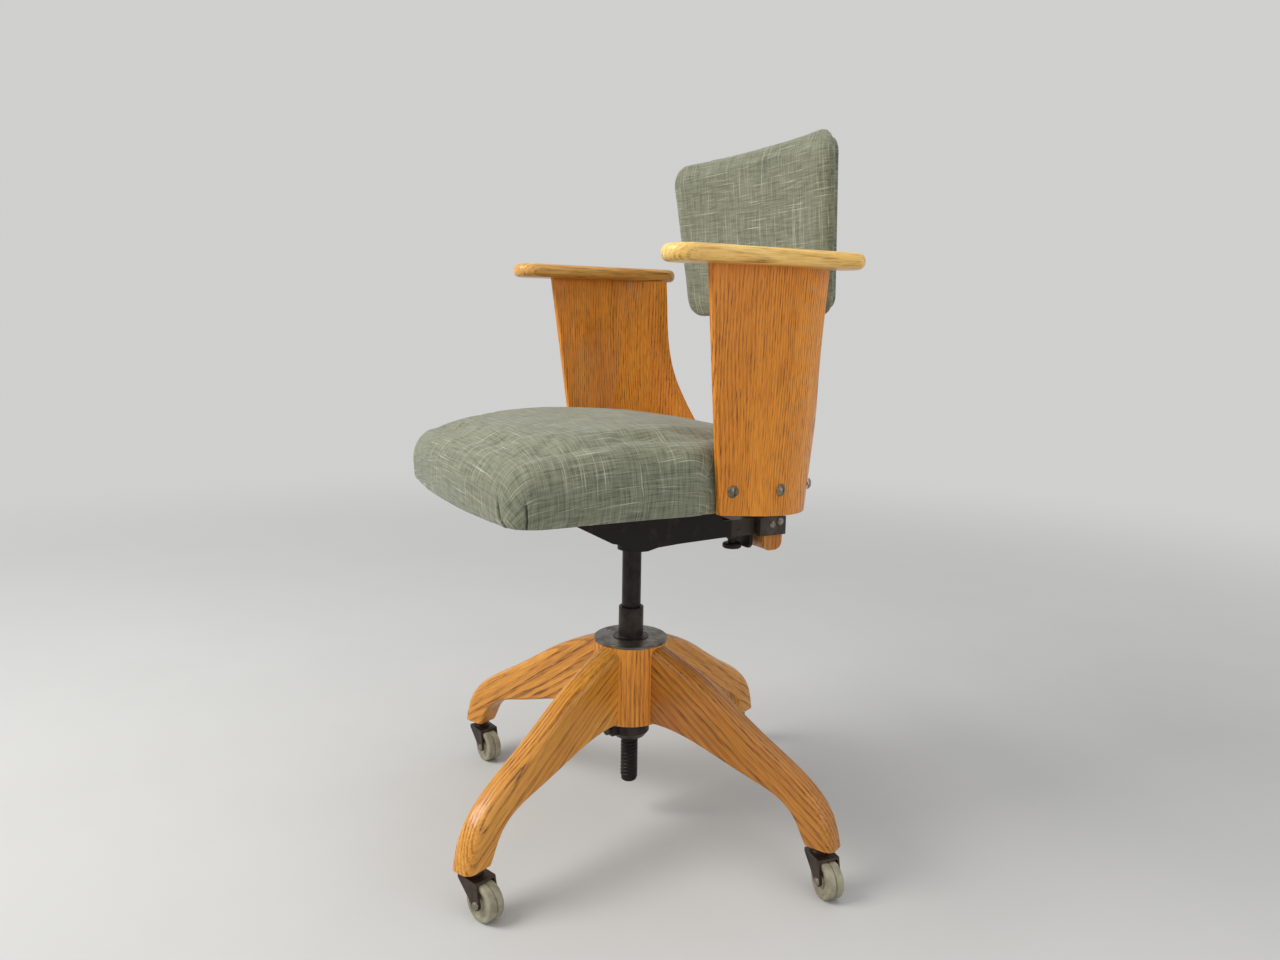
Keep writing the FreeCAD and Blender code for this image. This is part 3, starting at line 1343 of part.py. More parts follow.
def arm_dowel(name, spot, extra):
    return cylinder(name, s.armDowelRadius + extra, s.armDowelDrop + s.armDowelRise + extra * 2,
                    spot[0], spot[1], dowel_low - extra)


arm_dowels = []
arm_holes = []
for index, spot in enumerate(dowel_spots):
    arm_dowels.append(arm_dowel("ArmDowel%d" % index, spot, as_size(0)))
    arm_holes.append(arm_dowel("ArmHole%d" % index, spot, s.fitGap))
dowels_left = group("ArmDowelsLeft", arm_dowels)
arm_holes_left = fuse("ArmHolesLeft", arm_holes)
panel_cut = cut("PanelCut", panel_left, fuse("PanelTools", [holes_left, arm_holes_left]))
keep("side_panel_left", panel_cut)
keep("side_panel_right", mirrored("PanelRight", panel_cut))
keep("arm_dowels", group("ArmDowels", [dowels_left, mirrored("ArmDowelsRight", dowels_left)]))


def arm_body(name):
    # a paddle between a larger front circle and a smaller rear one
    body = new_body(name)
    sketch = attach(body, name + "Plan", "XY_Plane", s.panelTop)
    front_y = s.armFront + s.armFrontRadius
    rear_y = s.armRear - s.armRearRadius
    r1 = s.armFrontRadius.number
    r2 = s.armRearRadius.number
    x = s.armCentre.number
    y1 = front_y.number
    y2 = rear_y.number
    tilt = math.asin((r1 - r2) / (y2 - y1))

    def on(radius, y, side):
        return FreeCAD.Vector(x + side * radius * math.cos(tilt), y + radius * math.sin(tilt), 0)

    front = Part.Arc(on(r1, y1, -1), FreeCAD.Vector(x, y1 - r1, 0), on(r1, y1, 1))
    rear = Part.Arc(on(r2, y2, 1), FreeCAD.Vector(x, y2 + r2, 0), on(r2, y2, -1))
    sketch.addGeometry(front)
    sketch.addGeometry(Part.LineSegment(on(r1, y1, 1), on(r2, y2, 1)))
    sketch.addGeometry(rear)
    sketch.addGeometry(Part.LineSegment(on(r2, y2, -1), on(r1, y1, -1)))
    for index, radius, centre_y in ((0, s.armFrontRadius, front_y), (2, s.armRearRadius, rear_y)):
        mark = sketch.addConstraint(Sketcher.Constraint("Radius", index, radius.number))
        sketch.setExpression("Constraints[%d]" % mark, radius.text)
        pin_point(sketch, index, 3, s.armCentre, centre_y)
    for a, a_end, b, b_end in ((0, 2, 1, 1), (1, 2, 2, 1), (2, 2, 3, 1), (3, 2, 0, 1)):
        sketch.addConstraint(Sketcher.Constraint("Tangent", a, a_end, b, b_end))
    pad = body.newObject("PartDesign::Pad", name + "Pad")
    pad.Profile = sketch
    bind(pad, "Length", s.armThickness)
    low = s.panelTop.number
    high = low + s.armThickness.number

    def is_rim(edge):
        z = middle(edge).z
        return edge.BoundBox.ZLength < 0.01 and (abs(z - low) < 0.01 or abs(z - high) < 0.01)

    round_edges(body, name + "Rim", pad, s.armRound, is_rim)
    return body


arm_cut = cut("ArmCut", arm_body("Arm"), arm_holes_left)
keep("armrest_left", arm_cut)
keep("armrest_right", mirrored("ArmRight", arm_cut))

# back pad, its board, pivot bracket, pin and screws, all in the leaning pad's own frame

pad_place = FreeCAD.Placement(vec(0, s.padEdgeY, s.padMidZ),
                              FreeCAD.Rotation(FreeCAD.Vector(1, 0, 0), s.padLean.number))


def lean_put(thing):
    thing.Placement = pad_place
    bind(thing, "Placement.Base.y", s.padEdgeY)
    bind(thing, "Placement.Base.z", s.padMidZ)
    bind(thing, "Placement.Rotation.Angle", s.padLean)
    return thing


def pad_shell(name, start, thickness, inset, rounding):
    # a curved plate between two cylinders, cut to a tapering outline with round corners
    sag = s.padSag.number
    chord = s.padChord.number
    radius = (chord * chord + sag * sag) / (2 * sag)
    inner = radius + start.number
    outer = inner + thickness.number
    tall = s.padHalfHeight.number * 4
    base = FreeCAD.Vector(0, sag - radius, -tall / 2)
    shell = Part.makeCylinder(outer, tall, base).cut(Part.makeCylinder(inner, tall, base))
    high = s.padHalfHeight.number - inset.number
    top = s.padHalfTop.number - inset.number
    low = s.padHalfBottom.number - inset.number
    front = s.padChord.number * -0.25
    corners = [FreeCAD.Vector(-low, front, -high), FreeCAD.Vector(low, front, -high),
               FreeCAD.Vector(top, front, high), FreeCAD.Vector(-top, front, high),
               FreeCAD.Vector(-low, front, -high)]
    prism = Part.Face(Part.makePolygon(corners)).extrude(FreeCAD.Vector(0, chord, 0))
    along = [edge for edge in prism.Edges if edge.BoundBox.YLength > chord / 2]
    prism = prism.makeFillet(s.padCorner.number - inset.number, along)
    shape = prism.common(shell)
    if len(shape.Solids) == 1:
        shape = shape.Solids[0]
    if rounding is not None:
        rims = [edge for edge in shape.Edges if edge.Length > 12 and not edge.isSeam(shape.Faces[0])]
        shape = shape.makeFillet(rounding.number, rims)
    return lean_put(free_shape(name, shape))


board_start = s.padThickness + s.looseGap
board_back = s.padSag + board_start + s.padBoard
plate_low = board_back + s.fitGap
plate_high = plate_low + s.pivotPlate


def pad_screw(name, x, z, extra, head):
    length = s.padScrewLength + extra * 2
    shank = cylinder(name + "Shank", s.padScrewRadius + extra, length, x, plate_high - length + extra, z,
                     ALONG_Y)
    if not head:
        return shank
    cap = cone(name + "Cap", s.padScrewHead, s.padScrewHead * 0.6, 1.4, x, plate_high, z, ALONG_Y)
    return fuse(name, [shank, cap])


pad_screws = []
pad_holes = []
for i, (sx, sz) in enumerate(((-1, -1), (1, -1), (-1, 1), (1, 1))):
    x = s.postHalf * 0.65 * sx
    z = s.pivotPlateHalf * 0.68 * sz - s.pivotDrop
    pad_screws.append(pad_screw("PadScrew%d" % i, x, z, as_size(0), True))
    pad_holes.append(pad_screw("PadHole%d" % i, x, z, s.fitGap, False))
keep("pad_screws", lean_put(group("PadScrews", pad_screws)))
pad_hole_tool = lean_put(fuse("PadHoleTool", pad_holes))

pad_piece = pad_shell("PadForm", as_size(0), s.padThickness, as_size(0), s.padRound)
keep("back_pad", pad_piece)
keep("back_board", cut("BackBoard", pad_shell("BackBoardForm", board_start, s.padBoard, s.padBoardInset,
                                              None), pad_hole_tool))
ear_in = s.postHalf + s.looseGap
ear_out = ear_in + s.pivotEar
plate = box("PivotPlate", ear_out * 2, s.pivotPlate, s.pivotPlateHalf * 2, -ear_out, plate_low,
            -s.pivotDrop - s.pivotPlateHalf)
ears = []
for side in (0, 1):
    x = ear_in if side else -ear_out
    ears.append(box("PivotEar%d" % side, s.pivotEar, s.pivotBack - plate_low, s.pivotEarRadius * 2, x,
                    plate_low, -s.pivotDrop - s.pivotEarRadius))
    ears.append(cylinder("PivotEye%d" % side, s.pivotEarRadius, s.pivotEar, x, s.pivotBack, -s.pivotDrop,
                         ALONG_X))
pivot_bore = cylinder("PivotBore", s.pivotPin + s.fitGap, ear_out * 4, -ear_out * 2, s.pivotBack,
                      -s.pivotDrop, ALONG_X)
pivot_solid = lean_put(fuse("PivotSolid", [plate] + ears))
pivot_tools = lean_put(group("PivotTools", [pivot_bore]))
pivot_cut = cut("PivotCut", pivot_solid, pivot_tools)
keep("pivot_bracket", cut("PivotBracket", pivot_cut, pad_hole_tool))
pin_items = [cylinder("PinRod", s.pivotPin, ear_out * 2, -ear_out, s.pivotBack, -s.pivotDrop, ALONG_X),
             cylinder("PinHeadA", s.pivotPinHead, as_size(2.5), ear_out, s.pivotBack, -s.pivotDrop, ALONG_X),
             cylinder("PinHeadB", s.pivotPinHead, as_size(2.5), -ear_out - 2.5, s.pivotBack, -s.pivotDrop,
                      ALONG_X)]
keep("pivot_pin", lean_put(fuse("PivotPin", pin_items)))

# check every object, then write one file per piece

doc.recompute()
for thing in doc.Objects:
    if "Invalid" in thing.State or "Error" in thing.State:
        raise ValueError("%s is %s" % (thing.Name, thing.State))
os.makedirs("parts", exist_ok=True)
for node, thing in pieces.items():
    if thing.Label != node:
        raise ValueError("label %s is not %s" % (thing.Label, node))
    shape = thing.Shape
    if shape.isNull() or not shape.isValid() or not shape.Solids:
        raise ValueError("%s has no valid solid" % node)
for node, thing in pieces.items():
    shape = thing.Shape
    box_size = shape.BoundBox
    print("%-18s solids %2d volume %10.1f  x %7.1f %7.1f  y %7.1f %7.1f  z %7.1f %7.1f" % (
        node, len(shape.Solids), shape.Volume, box_size.XMin, box_size.XMax, box_size.YMin,
        box_size.YMax, box_size.ZMin, box_size.ZMax))
    shape.exportStep("parts/%s.step" % node)
print("%d pieces" % len(pieces))
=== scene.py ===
import bmesh
import bpy
import math
from mathutils import Matrix, Vector, noise
from mathutils.kdtree import KDTree


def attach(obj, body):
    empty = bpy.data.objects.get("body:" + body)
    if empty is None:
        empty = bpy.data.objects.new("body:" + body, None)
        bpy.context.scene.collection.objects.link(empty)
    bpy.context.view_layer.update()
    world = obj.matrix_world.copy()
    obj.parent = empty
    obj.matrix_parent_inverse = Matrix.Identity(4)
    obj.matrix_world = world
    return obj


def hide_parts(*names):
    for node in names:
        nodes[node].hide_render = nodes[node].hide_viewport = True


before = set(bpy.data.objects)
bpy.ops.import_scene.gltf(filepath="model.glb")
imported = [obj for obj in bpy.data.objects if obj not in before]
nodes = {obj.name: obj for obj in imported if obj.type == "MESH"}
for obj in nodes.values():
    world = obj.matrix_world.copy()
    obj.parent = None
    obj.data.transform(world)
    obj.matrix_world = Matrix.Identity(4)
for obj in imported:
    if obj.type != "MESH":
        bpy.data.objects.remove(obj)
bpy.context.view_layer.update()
print("chair frame loaded")


# view, light and floor

view = {
    "place": (1.06555, -0.55557, 0.65114),  # camera position in metres
    "heading": 62.463,  # degrees from +Y towards -X
    "yaw": 0.426,
    "pitch": 9.205,  # degrees down
    "roll": 0.895,
    "lens": 26.71,  # mm on a 36 mm wide sensor
}


def aimCamera():
    heading = math.radians(view["heading"])
    yaw = math.radians(view["yaw"])
    pitch = math.radians(view["pitch"])
    roll = math.radians(view["roll"])
    up = Vector((0, 0, 1))
    ahead = Vector((-math.sin(heading), math.cos(heading), 0))
    side = Vector((math.cos(heading), math.sin(heading), 0))
    turnedAhead = ahead * math.cos(yaw) + side * math.sin(yaw)
    turnedSide = side * math.cos(yaw) - ahead * math.sin(yaw)
    look = turnedAhead * math.cos(pitch) - up * math.sin(pitch)
    lift = up * math.cos(pitch) + turnedAhead * math.sin(pitch)
    right = turnedSide * math.cos(roll) + lift * math.sin(roll)
    top = lift * math.cos(roll) - turnedSide * math.sin(roll)
    data = bpy.data.cameras.new("photoCamera")
    data.sensor_width = 36
    data.sensor_fit = "HORIZONTAL"
    data.lens = view["lens"]
    data.clip_end = 50
    camera = bpy.data.objects.new("photoCamera", data)
    bpy.context.collection.objects.link(camera)
    turn = Matrix((right, top, -look)).transposed().to_4x4()
    camera.matrix_world = Matrix.Translation(view["place"]) @ turn
    bpy.context.scene.camera = camera


lights = {
    "world": 0.54,  # even light from all round
    "key": 76.0,  # large soft lamp, front left of the chair and above
    "fill": 14.0,  # low lamp from the camera's right
    "top": 16.0,
    "keyPlace": (-0.5, -2.3, 2.3),
    "fillPlace": (2.6, 0.6, 1.2),
    "topPlace": (0.4, 0.2, 3.2),
    "backdrop": (0.625, 0.627, 0.620),  # what the camera and the gloss see behind the chair
}


def softLamp(name, power, place, aim, width):
    data = bpy.data.lights.new(name, "AREA")
    data.energy = power
    data.size = width
    data.color = (1.0, 0.985, 0.96)
    lamp = bpy.data.objects.new(name, data)
    bpy.context.collection.objects.link(lamp)
    lamp.location = place
    lamp.rotation_euler = (Vector(aim) - Vector(place)).to_track_quat("-Z", "Y").to_euler()


def lightStudio():
    world = bpy.data.worlds.new("paleStudio")
    world.use_nodes = True
    tree = world.node_tree
    glow = tree.nodes["Background"]
    glow.inputs["Color"].default_value = (0.97, 0.985, 1.0, 1)
    glow.inputs["Strength"].default_value = lights["world"]
    plain = tree.nodes.new("ShaderNodeBackground")
    plain.inputs["Color"].default_value = (*lights["backdrop"], 1)
    path = tree.nodes.new("ShaderNodeLightPath")
    seen = path.outputs["Is Camera Ray"]
    for ray in ("Is Glossy Ray", "Is Transmission Ray"):
        either = tree.nodes.new("ShaderNodeMath")
        either.operation = "MAXIMUM"
        tree.links.new(seen, either.inputs[0])
        tree.links.new(path.outputs[ray], either.inputs[1])
        seen = either.outputs[0]
    mixed = tree.nodes.new("ShaderNodeMixShader")
    tree.links.new(seen, mixed.inputs[0])
    tree.links.new(glow.outputs[0], mixed.inputs[1])
    tree.links.new(plain.outputs[0], mixed.inputs[2])
    tree.links.new(mixed.outputs[0], tree.nodes["World Output"].inputs["Surface"])
    bpy.context.scene.world = world
    softLamp("keyLamp", lights["key"], lights["keyPlace"], (0, 0, 0.4), 1.6)
    softLamp("fillLamp", lights["fill"], lights["fillPlace"], (0, 0, 0.4), 2.0)
    softLamp("topLamp", lights["top"], lights["topPlace"], (0, 0, 0.3), 2.4)


# shader maths

class Wire:  # one socket's value, with operators that add Math nodes
    def __init__(self, tree, socket):
        self.tree = tree
        self.socket = socket

    def maths(self, operation, other=None, third=None):
        step = self.tree.nodes.new("ShaderNodeMath")
        step.operation = operation
        for slot, value in enumerate((self, other, third)):
            if isinstance(value, Wire):
                self.tree.links.new(value.socket, step.inputs[slot])
            elif value is not None:
                step.inputs[slot].default_value = value
        return Wire(self.tree, step.outputs[0])

    def __add__(self, other):
        return self.maths("ADD", other)

    __radd__ = __add__

    def __sub__(self, other):
        return self.maths("SUBTRACT", other)

    def __rsub__(self, other):
        return (self * -1.0) + other

    def __mul__(self, other):
        return self.maths("MULTIPLY", other)

    __rmul__ = __mul__

    def clip(self, low, high):  # maps low..high to 0..1, smoothly
        step = self.tree.nodes.new("ShaderNodeMapRange")
        step.interpolation_type = "SMOOTHSTEP"
        self.tree.links.new(self.socket, step.inputs["Value"])
        step.inputs["From Min"].default_value = low
        step.inputs["From Max"].default_value = high
        return Wire(self.tree, step.outputs["Result"])


class Finish:  # a material in the making
    def __init__(self, name):
        self.material = bpy.data.materials.new(name)
        self.material.use_nodes = True
        self.tree = self.material.node_tree
        self.shader = self.tree.nodes["Principled BSDF"]
        self.coords = self.tree.nodes.new("ShaderNodeTexCoord")

    def place(self):
        return Wire(self.tree, self.coords.outputs["Object"])

    def node(self, kind, settings, sockets, out=0):
        step = self.tree.nodes.new(kind)
        for key, value in settings.items():
            setattr(step, key, value)
        for key, value in sockets.items():
            if isinstance(value, Wire):
                self.tree.links.new(value.socket, step.inputs[key])
            else:
                step.inputs[key].default_value = value
        return Wire(self.tree, step.outputs[out])

    def stretch(self, vector, turn, scale, shift=(0, 0, 0)):
        turned = self.node("ShaderNodeMapping", {}, {"Vector": vector, "Rotation": turn, "Location": shift})
        return self.node("ShaderNodeVectorMath", {"operation": "MULTIPLY"}, {0: turned, 1: scale})

    def cloud(self, vector, scale=1.0, detail=2.0, roughness=0.5):
        sockets = {"Vector": vector, "Scale": scale, "Detail": detail, "Roughness": roughness}
        return self.node("ShaderNodeTexNoise", {}, sockets, "Fac")

    def axes(self, vector):
        split = self.tree.nodes.new("ShaderNodeSeparateXYZ")
        self.tree.links.new(vector.socket, split.inputs[0])
        return [Wire(self.tree, split.outputs[i]) for i in range(3)]

    def blend(self, amount, first, second):
        return self.node("ShaderNodeMix", {"data_type": "RGBA"}, {0: amount, 6: first, 7: second}, 2)

    def bump(self, height, strength, distance):
        return self.node("ShaderNodeBump", {}, {"Height": height, "Strength": strength,
                                                "Distance": distance})

    def wear(self, **sockets):
        names = {"colour": "Base Color", "roughness": "Roughness", "metallic": "Metallic",
                 "normal": "Normal", "coat": "Coat Weight", "coatRoughness": "Coat Roughness",
                 "sheen": "Sheen Weight", "sheenRoughness": "Sheen Roughness",
                 "specular": "Specular IOR Level"}
        for key, value in sockets.items():
            socket = self.shader.inputs[names[key]]
            if isinstance(value, Wire):
                self.tree.links.new(value.socket, socket)
            else:
                socket.default_value = value
        return self.material


def rgb(red, green, blue):
    return (red, green, blue, 1.0)


# oak

oakTones = {
    "base": {"light": (0.82, 0.380, 0.056), "mid": (0.62, 0.245, 0.028), "dark": (0.15, 0.040, 0.006)},
    # deep: darker tones for the first leg alone, painted shade on that leg
    "deep": {"light": (0.56, 0.225, 0.032), "mid": (0.41, 0.140, 0.016), "dark": (0.09, 0.023, 0.004)},
    "hub": {"light": (0.90, 0.360, 0.040), "mid": (0.70, 0.245, 0.022), "dark": (0.20, 0.052, 0.007)},
    "panel": {"light": (0.90, 0.340, 0.026), "mid": (0.68, 0.220, 0.012), "dark": (0.20, 0.048, 0.004)},
    # the two armrests are the same oak: the near arm's tones are lightened as a painted highlight, the far
    # arm's darkened as painted shade
    "arm": {"light": (0.98, 0.720, 0.240), "mid": (0.90, 0.530, 0.130), "dark": (0.34, 0.130, 0.022)},
    "shadedFarArm": {"light": (0.92, 0.520, 0.130), "mid": (0.56, 0.250, 0.040), "dark": (0.16, 0.050, 0.009)},
    "post": {"light": (0.64, 0.26, 0.045), "mid": (0.48, 0.17, 0.023), "dark": (0.14, 0.040, 0.007)},
    "raw": {"light": (0.62, 0.45, 0.26), "mid": (0.52, 0.36, 0.19), "dark": (0.30, 0.18, 0.09)},
}


def oakFinish(name, tone, turn, shift, rings, flame, roughness, coat=0.15):
    # turn brings the grain to the local X axis; rings is bands per metre; flame bends the bands
    made = Finish(name)
    tones = {key: rgb(*value) for key, value in oakTones[tone].items()}
    grain = made.stretch(made.place(), turn, (1, 1, 1), shift)
    slow = made.cloud(made.stretch(grain, (0, 0, 0), (1.8, 8, 8)), 1, 2, 0.5)
    wander = made.cloud(made.stretch(grain, (0, 0, 0), (10, 60, 60)), 1, 2, 0.5)
    along, across, deep = made.axes(grain)
    band = across + deep * 0.45 + (slow - 0.5) * flame + (wander - 0.5) * 0.0045
    phase = (band * rings).maths("FRACT")
    line = phase.clip(0.30, 0.82) * (1 - phase.clip(0.84, 1.0))
    mood = made.cloud(made.stretch(grain, (0, 0, 0), (3.0, 70, 70)), 1, 3, 0.6)
    line = line * (0.30 + mood.clip(0.36, 0.60) * 0.70)
    pores = made.cloud(made.stretch(grain, (0, 0, 0), (34, 760, 760)), 1, 2, 0.6)
    fine = made.cloud(made.stretch(grain, (0, 0, 0), (12, 330, 330)), 1, 3, 0.6)
    ticks = pores.clip(0.47, 0.64) * (0.30 + line * 0.70)
    streak = fine.clip(0.36, 0.66)
    broad = made.cloud(made.stretch(grain, (0, 0, 0), (2.2, 24, 24)), 1, 3, 0.55)
    tint = made.blend(broad.clip(0.32, 0.68) * 0.62 + streak * 0.38, tones["light"], tones["mid"])
    tint = made.blend(line * 0.42, tint, tones["dark"])
    tint = made.blend((ticks * 0.95).maths("MINIMUM", 1.0), tint, tones["dark"])
    rub = made.cloud(made.place(), 14, 4, 0.6)
    tint = made.blend(rub.clip(0.55, 0.80) * 0.22, tint, tones["dark"])
    gloss = roughness + ticks * 0.20 + (rub - 0.5) * 0.16
    dents = ticks * -1.0 + streak * -0.2
    normal = made.bump(dents, 0.35, 0.0005)
    return made.wear(colour=tint, roughness=gloss, normal=normal, coat=coat, coatRoughness=0.16,
                     specular=0.32)


# metals, enamel and wheels

def steelFinish(name, tone, rust, roughness, metallic):
    made = Finish(name)
    patches = made.cloud(made.place(), 60, 5, 0.6)
    specks = made.cloud(made.place(), 420, 3, 0.6)
    tint = made.blend(patches.clip(0.40, 0.68), rgb(*tone), rgb(*rust))
    tint = made.blend(specks.clip(0.60, 0.75) * 0.6, tint, rgb(*[value * 0.45 for value in tone]))
    normal = made.bump(patches * 0.5 + specks * 0.5, 0.25, 0.0005)
    gloss = roughness + (patches - 0.5) * 0.3
    return made.wear(colour=tint, roughness=gloss, metallic=metallic, normal=normal)


def enamelFinish(name, tone, worn, roughness):
    made = Finish(name)
    patches = made.cloud(made.place(), 38, 5, 0.65)
    specks = made.cloud(made.place(), 260, 3, 0.6)
    tint = made.blend(patches.clip(0.52, 0.74) * 0.55, rgb(*tone), rgb(*worn))
    tint = made.blend(specks.clip(0.66, 0.78) * 0.8, tint, rgb(*worn))
    normal = made.bump(specks, 0.2, 0.0004)
    return made.wear(colour=tint, roughness=roughness + (patches - 0.5) * 0.25, normal=normal,
                     specular=0.22)


def wheelFinish(name):
    made = Finish(name)
    patches = made.cloud(made.place(), 70, 4, 0.6)
    specks = made.cloud(made.place(), 500, 3, 0.6)
    tint = made.blend(patches.clip(0.35, 0.7), rgb(0.34, 0.315, 0.225), rgb(0.22, 0.195, 0.13))
    tint = made.blend(specks.clip(0.62, 0.76) * 0.6, tint, rgb(0.09, 0.07, 0.05))
    normal = made.bump(specks, 0.3, 0.0004)
    return made.wear(colour=tint, roughness=0.5 + (patches - 0.5) * 0.3, normal=normal)


def plyFinish(name, tone):
    made = Finish(name)
    grain = made.cloud(made.stretch(made.place(), (0, 0, 0), (260, 14, 260)), 1, 3, 0.6)
    blot = made.cloud(made.place(), 9, 3, 0.6)
    light = rgb(*tone)
    dark = rgb(*[value * 0.55 for value in tone])
    tint = made.blend(grain.clip(0.4, 0.7) * 0.7 + blot * 0.2, light, dark)
    normal = made.bump(grain, 0.3, 0.0004)
    return made.wear(colour=tint, roughness=0.62 + (grain - 0.5) * 0.2, normal=normal)


# linen

linen = {
    "ground": (0.262, 0.272, 0.188),
    "shade": (0.080, 0.090, 0.056),
    "slub": (0.64, 0.635, 0.50),
    "threads": 620.0,  # threads per metre
    "bump": 0.6,
}


def linenFinish(name, upright=False):
    # the weave lies on the cloth's own run, a UV map in metres, so it turns over the edges
    made = Finish(name)
    tones = {key: rgb(*linen[key]) for key in ("ground", "shade", "slub")}
    if upright:  # a flat board's cover, seen from behind
        run = made.node("ShaderNodeMapping", {}, {"Vector": made.place(), "Rotation": (-math.pi / 2, 0, 0)})
    else:
        run = made.node("ShaderNodeUVMap", {"uv_map": "clothRun"}, {})
    count = linen["threads"]
    pale = []
    dull = []
    yarns = []
    for index in (0, 1):
        long = [11.0, 11.0, 1.0]
        long[index] = 520.0
        slub = made.cloud(made.stretch(run, (0, 0, 0), long, (index * 0.31, 0.17, 0)), 1, 3, 0.62)
        short = [34.0, 34.0, 1.0]
        short[index] = count
        yarn = made.cloud(made.stretch(run, (0, 0, 0), short, (0.23, index * 0.37, 0)), 1, 2, 0.6)
        dash = [26.0, 26.0, 1.0]
        dash[index] = 300.0
        stripe = made.cloud(made.stretch(run, (0, 0, 0), dash, (0.11, index * 0.53, 0)), 1, 2, 0.6)
        pale.append(slub.clip(0.585, 0.68))
        dull.append((1 - yarn.clip(0.34, 0.60)) * 0.6 + (1 - stripe.clip(0.34, 0.60)) * 0.5)
        yarns.append(yarn)
    fade = made.cloud(made.place(), 7, 3, 0.5)
    shade = (dull[0] + dull[1]) * 0.52
    tint = made.blend(shade.maths("MINIMUM", 1.0), tones["ground"], tones["shade"])
    tint = made.blend(pale[0] * 0.55, tint, tones["slub"])
    tint = made.blend(pale[1] * 0.50, tint, tones["slub"])
    tint = made.blend(fade.clip(0.45, 0.8) * 0.12, tint, tones["slub"])
    weave = yarns[0] + yarns[1] + (pale[0] + pale[1]) * 0.4
    normal = made.bump(weave, linen["bump"], 0.0007)
    return made.wear(colour=tint, roughness=0.92, normal=normal, sheen=0.22, sheenRoughness=0.5,
                     specular=0.25)


# dress every carried-over piece

def dress(name, material):
    piece = nodes[name]
    slots = piece.data.materials
    if len(slots) == 0:
        slots.append(material)
    for index in range(len(slots)):
        slots[index] = material


legGrain = {
    "turn": 25.2,  # degrees from +X to the first leg
    "dip": 34.0,  # degrees that the grain falls towards the foot
    "rings": 210,
    "flame": 0.04,
}


def grainAlong(turnZ, dip):
    # Mapping rotation that brings a grain direction, turnZ about Z and dip downwards, to local X
    direction = Matrix.Rotation(math.radians(turnZ), 3, "Z") @ Matrix.Rotation(math.radians(dip), 3, "Y")
    return tuple(direction.inverted().to_euler("XYZ"))


def dressFrame():
    # the first leg takes the darker deep tones as painted shade, the other legs take base
    for index in range(4):
        finish = oakFinish("legOak%d" % (index + 1), "base" if index else "deep",
                           grainAlong(legGrain["turn"] + 90 * index, legGrain["dip"]),
                           (0.13 * index, 0.21 * index, 0.05), legGrain["rings"], legGrain["flame"],
                           0.34, 0.3)
        dress("leg_%d" % (index + 1), finish)
    upright = grainAlong(0, 90)
    dress("hub", oakFinish("hubOak", "hub", upright, (0.4, 0.0, 0.0), 170, 0.03, 0.42))
    dress("side_panel_left", oakFinish("nearPanelOak", "panel", upright, (0.0, 0.3, 0.1), 260, 0.06, 0.46))
    dress("side_panel_right", oakFinish("farPanelOak", "panel", upright, (0.5, 0.1, 0.6), 260, 0.06, 0.46))
    lengthwise = grainAlong(90, 0)
    # the near armrest wears the painted-highlight tones, the far one the painted-shade tones
    litNearArm = oakFinish("nearArmOak", "arm", lengthwise, (0.2, 0.2, 0.0), 180, 0.05, 0.34, 0.3)
    shadedFarArm = oakFinish("farArmOak", "shadedFarArm", lengthwise, (0.7, 0.5, 0.3), 180, 0.05, 0.34, 0.3)
    dress("armrest_left", litNearArm)
    dress("armrest_right", shadedFarArm)
    dress("back_post", oakFinish("postOak", "post", upright, (0.9, 0.2, 0.3), 150, 0.02, 0.42))
    raw = oakFinish("rawDowel", "raw", upright, (0.1, 0.1, 0.1), 200, 0.01, 0.7)
    for name in ("leg_dowels", "arm_dowels", "seat_frame"):
        dress(name, raw)
    dress("seat_board", plyFinish("seatPly", (0.42, 0.30, 0.17)))
    dress("back_board", linenFinish("boardLinen", upright=True))
    plateSteel = steelFinish("plateSteel", (0.20, 0.18, 0.155), (0.10, 0.085, 0.07), 0.38, 0.85)
    dress("hub_plate", plateSteel)
    dress("caster_sockets", plateSteel)
    dress("thrust_washer", plateSteel)
    darkSteel = steelFinish("darkSteel", (0.050, 0.037, 0.030), (0.024, 0.018, 0.015), 0.40, 0.7)
    for name in ("guide_sleeve", "spindle_nut", "nut_lock_screw"):
        dress(name, darkSteel)
    dress("spindle", steelFinish("spindleSteel", (0.024, 0.020, 0.018), (0.012, 0.010, 0.009), 0.42, 0.7))
    screwSteel = steelFinish("screwSteel", (0.30, 0.27, 0.23), (0.14, 0.11, 0.08), 0.35, 0.9)
    for name in ("plate_screws", "panel_screws", "bracket_bolts", "pad_screws", "bearer_bolts",
                 "back_arm", "pivot_pin"):
        dress(name, screwSteel)
    black = enamelFinish("blackEnamel", (0.010, 0.008, 0.007), (0.045, 0.034, 0.027), 0.50)
    for name in ("seat_bearer", "guide_fin", "pivot_bracket"):
        dress(name, black)
    brown = enamelFinish("brownEnamel", (0.050, 0.038, 0.031), (0.13, 0.10, 0.08), 0.42)
    for name in ("arm_guide", "end_bracket"):
        dress(name, brown)
    dress("clamp_knob", enamelFinish("knobBlack", (0.014, 0.012, 0.011), (0.05, 0.04, 0.035), 0.5))
    fork = steelFinish("forkSteel", (0.075, 0.052, 0.040), (0.035, 0.024, 0.018), 0.42, 0.75)
    wheel = wheelFinish("wheelGrey")
    for index in range(4):
        dress("caster_fork_%d" % (index + 1), fork)
        dress("caster_axle_%d" % (index + 1), screwSteel)
        dress("caster_wheel_%d" % (index + 1), wheel)
    cloth = linenFinish("sageLinen")
    return cloth


# seat cushion

